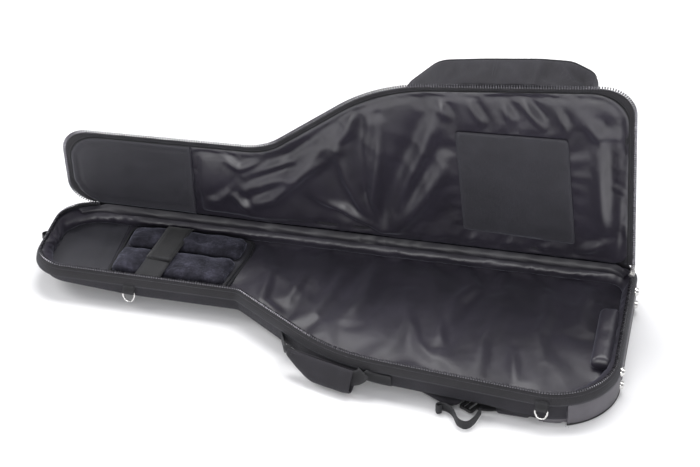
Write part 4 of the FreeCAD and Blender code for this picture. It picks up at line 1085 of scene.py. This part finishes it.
def make_inner_pocket():
    def shape(x, y, e):
        return -2.2 - 1.1 * np.clip(e / 30, 0, 1) - 0.35 * ripples(x, y, 80, 85) * np.clip(e / 15, 0, 1)

    sheet("lid_pocket_patch", POCKET_PATCH.base, shape, on_lid, "lid", "smooth_patch",
          ("lid_inner_pocket",), thick=1.0)
    inward = on_lid(0, 0, -1) - on_lid(0, 0, 0)
    ring = POCKET_PATCH.at(-0.3)
    cord("lid_pocket_edge", on_lid(ring[:, 0], ring[:, 1], -2.3), 0.9, "lid", "smooth_patch", closed=True)
    for number, grow in enumerate((-3.5, -9.0)):
        ring = POCKET_PATCH.at(grow)
        ring = np.vstack([ring, ring[:1]])
        stitches("lid_pocket_stitch_%d" % number, on_lid(ring[:, 0], ring[:, 1], -2.85), inward, "lid",
                 4.6, 3.4, 0.8)


POCKET = Loop([(x, HINGE_Y - d, r) for x, d, r in (
    (102, 45, 12), (102, 300, 24), (160, 361, 50), (241, 374, 80), (336, 386, 80), (392, 388, 40),
    (432, 368, 16), (438, 346, 8), (438, 45, 12))], step=6.0)


POCKET_SEAM = 262


def make_accessory_pocket():
    def gusset_stir(loop, level, grow):
        s, x = loop.along, loop.base[:, 0]
        soft = math.sin(math.pi * min(1, level * 1.1)) ** 0.7
        high = 0 * s + level * 56
        out = 5.0 * (creases(s, high, 80, 91, 0.3, 0.8) - 0.5) + 1.0 * ripples(s, high, 28, 93)
        crush = np.clip((x - 290) / 80, 0, 1) * 10.0 * (creases(s, high, 52, 95, 0.8, 0.7) - 0.6)
        by_seam = np.exp(-((x - POCKET_SEAM) / 9.0) ** 2)
        groove = -3.0 * np.exp(-((np.abs(x - POCKET_SEAM) - 5.5) / 1.8) ** 2)
        bulk = np.where(x > 430, 0.2, 1.0) * (1 - by_seam) * (out + crush)
        return soft * (bulk + groove), 0.8 * soft * ripples(s, high, 60, 97)

    gusset = [(-3.0, 5.0), (-1.0, 9), (0.0, 14), (0.6, 20.4), (0.9, 27), (1.3, 35), (1.4, 43), (1.4, 51),
              (1.1, 59), (0.4, 66), (-1.0, 72), (-3.6, 76.4)]
    loft("pocket_side", POCKET, gusset, on_lid, "lid", "outer_nylon", ("pocket_gusset",), gusset_stir,
         thick=1.2)
    front = sheet("pocket_front", POCKET.at(-3.2), lambda x, y, e: 76.4 + 2.6 * (1 - np.exp(-e / 25))
                  + np.clip(e / 18, 0, 1) * (0.8 * ripples(x, y, 120, 99)
                                             + 1.6 * (creases(x, y, 100, 101, 0.9, 0.6) - 0.5)),
                  on_lid, "lid", "outer_nylon", ("pocket_panel",), thick=1.2)
    ring = POCKET.at(-3.2)
    cord("pocket_piping", on_lid(ring[:, 0], ring[:, 1], 76.6), 1.8, "lid", "webbing", closed=True)
    outward = on_lid(0, 0, 1) - on_lid(0, 0, 0)
    for number, grow in enumerate((-7.5, -12.5)):
        ring = POCKET.at(grow)
        stitches("pocket_front_stitch_%d" % number, on_lid(ring[:, 0], ring[:, 1], 78.0), outward, "lid")
    for number, x in enumerate((POCKET_SEAM - 2.2, POCKET_SEAM + 2.2)):
        rim = POCKET.base[POCKET.base[:, 1] < -100]
        edge = rim[np.argmin(np.abs(rim[:, 0] - x)), 1] - 2.3
        top = np.array([(x, edge, h) for h in np.linspace(23, 71, 8)])
        away = on_lid(0, -1, 0) - on_lid(0, 0, 0)
        stitches("pocket_seam_stitch_%d" % number, on_lid(top[:, 0], top[:, 1], top[:, 2]), away, "lid")
    return front


# ---------------------------------------------------------------- cushions and neck straps

CRADLE = Loop([(-402, 6, 12), (-185, 4, 10), (-163, 125, 10), (-166, 168, 10), (-396, 168, 12)], step=6)
PILLOW_NEAR = Loop([(-399, 13, 16), (-189, 11, 18), (-177, 93, 14), (-393, 93, 14)], step=6)
PILLOW_FAR = Loop([(-390, 96, 14), (-177, 96, 14), (-171, 161, 18), (-388, 161, 16)], step=6)
STRAP_X = -314


def make_cushions():
    pad("cradle_base", CRADLE.base, 29.5, 36.6, 6, on_tray, "tray", "smooth_patch",
        ("neck_cradle_base",), relief=lambda x, y, e: 0.5 * ripples(x, y, 60, 111))
    for number, (grow, height, radius) in enumerate(((1.0, 33.2, 1.9), (-3.0, 36.9, 1.7))):
        ring = CRADLE.at(grow)
        cord("cradle_piping_%d" % number, on_tray(ring[:, 0], ring[:, 1], height), radius, "tray",
             "webbing", closed=True)

    def relief(seed):
        def shape(x, y, e):
            press = -2.2 * np.exp(-((x - STRAP_X) / 24) ** 4)
            lumps = 1.5 * ripples(x, y, 46, seed) + 1.3 * (creases(x, y, 60, seed + 1, 0.3, 1.2) - 0.5)
            return press + lumps
        return shape

    for name, loop, seed in (("near", PILLOW_NEAR, 121), ("far", PILLOW_FAR, 131)):
        piece = pad("pillow_" + name, loop.at(-1.0), 35.5, 52.0, 19, on_tray, "tray", "plush",
                    ("neck_pillow_" + name,), 4.5, relief(seed), mid=0.42)
        settle_later(piece, 0.02, 1.2, 2.0)
    end = pad("end_cushion", Loop([(479, -81, 10), (517.5, -81, 6), (517.5, 77, 6), (479, 77, 10)]).at(-0.5),
              29.5, 56.5, 12, on_tray, "tray", "smooth_patch", ("end_pin_cushion",), 4.5,
              lambda x, y, e: 0.9 * ripples(x, y, 40, 141), look="satin_lining")
    settle_later(end, 0.02, 1.0, 2.0)


def make_neck_straps():
    near = [(-324, -6, 44), (-322.5, -2.5, 49.5), (-320.5, 5, 53.2), (-318, 20, 54.3), (-315.5, 42, 54.5),
            (-313, 62, 54.3)]
    ribbon("strap_near", near, (1, 0, 0), 46, 2.2, "neck_strap_near", "webbing", ("neck_strap_near",))
    far = [(-299, 163, 48), (-301, 158, 52.5), (-303, 148, 54.8), (-307, 110, 55.2), (-311, 75, 56.2),
           (-314.5, 48, 57.6)]
    ribbon("strap_far", far, (1, 0, 0), 47, 2.4, "neck_strap_far", "hook_and_loop", ("neck_strap_far",))
    rows = (((-335.5, 54, 58.7), (-291, 55.5, 58.7)), ((-336, 50.5, 58.9), (-291.5, 52, 58.9)))
    for number, (a, b) in enumerate(rows):
        stitches("strap_far_hem_%d" % number, np.linspace(a, b, 6), (0, 0, 1), "neck_strap_far")
    for side, offset in (("left", -21), ("right", 21)):
        path = np.array(far)[1:] + (offset, 0, 1.3)
        stitches("strap_far_edge_" + side, smooth_path(path), (0, 0, 1), "neck_strap_far")


# ---------------------------------------------------------------- rings, handle, loops


def turned(origin, yaw, droop=0.0):
    """Placing function for points drawn in a frame that is turned about Z, then about its own X."""
    turn = Matrix.Rotation(math.radians(yaw), 3, "Z") @ Matrix.Rotation(math.radians(droop), 3, "X")
    turn = np.array(turn)

    def where(x, y, z):
        return on_tray(x, y, z) @ turn.T + np.array(origin, float)
    where.turn = lambda vector: np.array(vector, float) @ turn.T
    return where


def make_d_ring_tabs():
    for end, yaw in (("head", -0.92), ("tail", -6.37)):
        low, high = (np.array(c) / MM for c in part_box("d_ring_" + end))
        bar = [(low[0] + high[0]) / 2, (low[1] + high[1]) / 2, high[2] - 1.8]
        where = turned(bar, yaw)
        loop = [(0, 3.6, 15), (0, 3.4, 8), (0, 2.9, 2), (0, 0.6, -3.0), (0, -2.9, -1.4), (0, -3.1, 1.8),
                (0, -0.6, 4.2), (0, 1.6, 8), (0, 2.3, 14)]
        path = np.array([where(*p) for p in loop])
        ribbon("ring_tab_" + end, path, where.turn((1, 0, 0)), 22, 1.3, "tray", "webbing",
               ("d_ring_tab_" + end,))
        for row, z in enumerate((6.5, 11.5)):
            line = np.array([where(u, 1.2 if z < 8 else 1.7, z) for u in np.linspace(-9.5, 9.5, 5)])
            stitches("ring_tab_%s_stitch_%d" % (end, row), line, where.turn((0, -1, 0)), "tray", 3.6, 2.8)


def make_handle():
    where = turned((34, -160, 46), -17, 60)
    long = np.linspace(-65, 65, 40)
    section = np.linspace(-1, 1, 25)
    rows, uv = [], []
    for u in long:
        left = np.clip((-5 - u) / 60, 0, 1)
        bottom = 42.0 - 31 * left ** 1.35 - 2.5 * np.clip((u - 52) / 13, 0, 1)
        top = 2.0
        thick = 8.3 - 3.6 * left ** 2
        row = []
        for t in section:
            around = t * math.pi / 2
            depth = top + (bottom - top) * (math.cos(around) ** 0.55 if abs(t) < 1 else 0.0)
            side = math.sin(around)
            bulge = thick * math.copysign(abs(side) ** 0.7, side) * (0.80 + 0.20 * math.sin(math.pi * abs(t)))
            row.append((u, -depth, bulge))
        rows.append(row)
        uv.append([(u, 30 * t) for t in section])
    rows = np.array(rows)
    rows[..., 2] += 0.5 * ripples(rows[..., 0], rows[..., 1], 34, 151)
    placed = where(rows[..., 0], rows[..., 1], rows[..., 2]).reshape(-1, 3)
    wrap = build("handle_grip", placed, grid_faces(len(long), len(section), False), "handle",
                 "outer_nylon", ("handle_wrap",), np.array(uv).reshape(-1, 2))
    refine(thicken(wrap, 3.2, -1.0))
    hem = [(-56, -6.5), (-20, -6.5), (20, -6.5), (61, -6.5)]
    low_hem = [(-57, -9), (-48, -13), (-36, -19), (-20, -26.5), (-4, -32.5), (12, -34), (60, -33)]
    for number, line in enumerate((hem, low_hem)):
        curve = smooth_path([(u, v, 0) for u, v in line])
        depth = np.clip((-curve[:, 1] - 2) / 36, 0, 1)
        lift = 8.5 * np.sqrt(np.clip(1 - depth ** 2, 0.1, 1)) + 0.2
        path = where(curve[:, 0], curve[:, 1], lift)
        stitches("handle_hem_%d" % number, path, where.turn((0, 0, 1)), "handle")
    end = [(60.5, -7), (60.5, -32)]
    line = smooth_path([(u, v, 0) for u, v in end])
    depth = np.clip((-line[:, 1] - 2) / 36, 0, 1)
    stitches("handle_hem_end", where(line[:, 0], line[:, 1], 8.5 * np.sqrt(1 - depth ** 2) + 0.2),
             where.turn((0, 0, 1)), "handle")
    strap = [(-72, 2, 0), (-68, -3, 0), (-60, -6.5, 0), (-46, -9.5, 0), (0, -19, 0), (50, -18, 0),
             (66, -15, 0), (76, -8, 0), (80, -1, 0)]
    path = np.array([where(*p) for p in strap])
    curve = smooth_path(path)
    normal = where.turn((0, 0, 1))
    across = np.cross(np.gradient(curve, axis=0), normal)
    ribbon("handle_strap", curve, across, 25, 2.8, "handle", "webbing", ("handle_webbing",), curved=False,
           widths=(12, 12, 14, 22, 25, 25, 25, 25))
    head = [(-53, -94, 29), (-46.5, -111, 30), (-41, -126, 34), (-35, -137.5, 43)]
    tail = [(157, -178.6, 30), (136, -176.6, 30.5), (119, -177, 34), (109, -182, 43)]
    for end, line in (("head", head), ("tail", tail)):
        ribbon("handle_anchor_%s_web" % end, line, (0.05, -0.2, 1), 24, 2.4, "tray", "webbing",
               ("handle_anchor_" + end,), widths=(24, 24, 24, 18))
    box_x = [(152, -179.8), (124, -177.8)]
    for number, z in enumerate((21.5, 39.5)):
        path = np.array([(x, y - 0.3, z) for x, y in box_x])
        stitches("handle_anchor_stitch_%d" % number, path, (0, -1, 0), "tray", 3.6, 2.8)


def make_loops():
    loop = [(-532, 83, 48), (-539, 83.5, 48), (-545, 87, 48), (-546.5, 91, 48), (-545, 95, 48),
            (-539, 98.5, 48), (-532, 99, 48)]
    ribbon("end_loop", loop, (0, 0, 1), 11, 1.4, "tray", "webbing", ("hang_loop",))


# ---------------------------------------------------------------- underside


CHANNEL_WIDTH, CHANNEL_DEPTH = 3.0, 2.6


def channels(x, y, lines):
    """Sewn channels: grooves along lines (a, b, c) of a*x + b*y = c."""
    total = np.zeros(np.shape(x))
    for a, b, c in lines:
        total -= CHANNEL_DEPTH * np.exp(-((a * x + b * y - c) / CHANNEL_WIDTH) ** 2)
    return total


def make_back_pads():
    def quilted(name, corners, lines, body, slot, node, where=on_tray, low=0.0, high=13.8, rim=12):
        loop = Loop(corners, step=7.0)
        points, quads, edge = grid_in(loop.at(-0.5), 5.0)
        x, y = points[:, 0], points[:, 1]
        t = np.clip(edge / rim, 0, 1)
        round_off = np.sqrt(1 - (1 - t) ** 2)
        groove = channels(x, y, lines) * np.clip(edge / rim - 0.3, 0, 1)
        middle = low + (high - low) * 0.6
        bottom = middle - (middle - low) * round_off - groove
        top = middle + (high - middle) * round_off
        inner = edge > 0
        lower = np.where(inner, np.cumsum(inner) - 1 + len(points), np.arange(len(points)))
        placed = np.concatenate([where(x, y, top), where(x, y, bottom)[inner]])
        faces = quads.tolist() + lower[quads][:, ::-1].tolist()
        piece = build(name, placed, faces, body, slot, (node,), np.concatenate([points, points[inner]]))
        return piece

    quilted("yoke_cushion", [(-110, -30, 14), (30, -36, 14), (30, 170, 14), (-110, 170, 14)],
            [(1, 0, -64), (1, 0, -16), (0, 1, 35), (0, 1, 103)], "tray", "smooth_patch", "yoke_pad")
    quilted("lumbar_cushion", [(150, -48, 16), (380, -48, 16), (380, 56, 16), (150, 56, 16)],
            [(0.7, 0.7, c) for c in range(70, 330, 50)] + [(0.7, -0.7, c) for c in range(70, 330, 50)],
            "tray", "mesh_pad", "lumbar_pad")
    for side, sign in (("near", -1), ("far", 1)):
        where = turned((48, 1 + 42 * sign, 0), 30 * sign)
        quilted("strap_pad_" + side, [(0, -31, 8), (270, -31, 20), (270, 31, 20), (0, 31, 8)],
                [(0, 1, -17), (0, 1, 17)], "shoulder_" + side, "outer_nylon", "shoulder_strap_" + side,
                where, 2.5, 12.5, 9)
        for number, v in enumerate((-27, 27)):
            line = np.array([where(u, v, 3.4) for u in np.linspace(14, 255, 30)])
            stitches("strap_pad_%s_stitch_%d" % (side, number), line, (0, 0, -1), "shoulder_" + side)
        lower = [(307, 181 * sign, 6.2), (322, 181 * sign, 5.4), (342, 179 * sign, 7.0)]
        ribbon("lower_web_" + side, lower, (0, 1, 0), 25, 1.8, "tray", "webbing", ("lower_webbing_" + side,))
        wing = [(338, -195, 4), (400, -199, 8), (400, -150, 8), (338, -160, 4)]
        wing = wing if sign < 0 else [(x, -y, r) for x, y, r in wing][::-1]
        pad("strap_wing_" + side, Loop(wing).at(-0.3), 2.0, 13.4, 7, on_tray, "tray", "outer_nylon",
            ("strap_anchor_" + side,), 4.5, lambda x, y, e: 0.4 * ripples(x, y, 30, 161))
    tail = [(314, -200, 10), (307, -228, 10), (296, -243, 10), (281, -237, 10), (270, -216, 10),
            (259, -205, 10), (245, -202, 10), (239, -207, 10), (243, -213, 10), (249, -209, 10)]
    ribbon("strap_tail", tail, (0, 0, 1), 17, 2.0, "shoulder_near", "webbing", ("strap_tail_near",))


# ---------------------------------------------------------------- carried-over CAD nodes


def dress_nodes():
    slots = {name: slot for slot, spec in SLOT_NODES.items() for name in spec}
    for name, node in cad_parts.items():
        look = LOOKS[slots.get(name, "webbing")]
        if not node.data.materials:
            node.data.materials.append(look)
        for index in range(len(node.data.materials)):
            node.material_slots[index].material = look


SLOT_NODES = {
    "chrome": ("tail_studs", "d_ring_head", "d_ring_tail"),
    "slider_metal": ("slider_tail", "slider_tail_pull", "slider_pocket", "slider_pocket_pull"),
    "buckle_plastic": ("ladder_lock_near", "ladder_lock_far"),
    "zip_tape": ("pocket_zip_tape",),
    "zip_teeth": ("pocket_zip_teeth",),
}


# ---------------------------------------------------------------- stage, camera and lights


def plain(name, colour, rough):
    n = Nodes(name)
    cloud = n.noise(n.coords.outputs["Object"], 3.0, 2.0)
    n.set(colour=n.ramp(cloud, (0.3, shade(colour, 0.985)), (0.7, colour)), rough=rough, level=0.2)
    return n.material


def make_stage():
    """A pale floor that curves up into a backdrop far behind the bag."""
    far, rise, half, bend = 7.0, 4.0, 9.0, 2.5
    section = [(-8.0, 0.0), (far - bend, 0.0)]
    section += [(far - bend + bend * math.sin(a), bend - bend * math.cos(a))
                for a in np.linspace(0, math.pi / 2, 13)[1:]]
    section.append((far, rise + bend))
    verts = [(x, y, z) for y, z in section for x in (-half, half)]
    data = bpy.data.meshes.new("studio_floor")
    data.from_pydata(verts, [], grid_faces(len(section), 2, False))
    data.polygons.foreach_set("use_smooth", [True] * len(data.polygons))
    data.materials.append(plain("studio_white", (0.90, 0.90, 0.905), 0.7))
    floor = bpy.data.objects.new("studio_floor", data)
    bpy.context.scene.collection.objects.link(floor)


def make_camera():
    yaw, tilt = math.radians(11.90), math.radians(35.08)
    look = Vector((-math.sin(yaw) * math.cos(tilt), math.cos(yaw) * math.cos(tilt), -math.sin(tilt)))
    right = Vector((math.cos(yaw), math.sin(yaw), 0))
    up = right.cross(look)
    turn = Matrix((right, up, -look)).transposed().to_4x4()
    data = bpy.data.cameras.new("camera")
    data.lens, data.sensor_width = 115.05, 36.0
    data.shift_x, data.shift_y = 0.0067, 0.0283
    data.clip_end = 100
    camera = bpy.data.objects.new("camera", data)
    camera.matrix_world = Matrix.Translation((0.69296, -3.09885, 2.37904)) @ turn
    bpy.context.scene.collection.objects.link(camera)
    bpy.context.scene.camera = camera


def add_softbox(name, place, aim, size, power):
    data = bpy.data.lights.new(name, "AREA")
    data.shape = "RECTANGLE"
    data.size, data.size_y = size
    data.energy = power
    light = bpy.data.objects.new(name, data)
    light.location = place
    direction = Vector(aim) - Vector(place)
    light.rotation_euler = direction.to_track_quat("-Z", "Y").to_euler()
    bpy.context.scene.collection.objects.link(light)


def make_lights():
    world = bpy.data.worlds.new("studio")
    world.use_nodes = True
    tree = world.node_tree
    back = tree.nodes["Background"]
    seen = tree.nodes.new("ShaderNodeLightPath")
    mix = tree.nodes.new("ShaderNodeMix")
    mix.data_type = "RGBA"
    mix.inputs[6].default_value = (0.42, 0.42, 0.44, 1)
    mix.inputs[7].default_value = (1.0, 1.0, 1.0, 1)
    tree.links.new(seen.outputs["Is Camera Ray"], mix.inputs["Factor"])
    tree.links.new(mix.outputs[2], back.inputs["Color"])
    back.inputs["Strength"].default_value = 1.0
    bpy.context.scene.world = world
    bpy.context.scene.view_settings.view_transform = "Standard"
    add_softbox("softbox_top", (0.0, 1.3, 2.9), (0.0, 0.1, 0.0), (2.4, 1.4), 88)
    add_softbox("softbox_left", (-3.0, 0.2, 2.1), (0.0, 0.1, 0.1), (1.4, 1.6), 52)
    add_softbox("softbox_right", (3.0, 0.4, 2.2), (0.1, 0.1, 0.1), (1.2, 1.6), 22)
    add_softbox("softbox_front", (0.3, -3.3, 1.3), (0.0, 0.1, 0.2), (3.2, 1.4), 62)


# ---------------------------------------------------------------- the whole bag

make_tray()
hinge_pieces = make_hinge()
make_lid()
make_accessory_pocket()
make_cushions()
make_neck_straps()
make_d_ring_tabs()
make_handle()
make_loops()
make_back_pads()
dress_nodes()
settle_all()
for item in SOFT:
    refine(item[0])
for item in hinge_pieces:
    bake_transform(item)
make_stage()
make_camera()
make_lights()
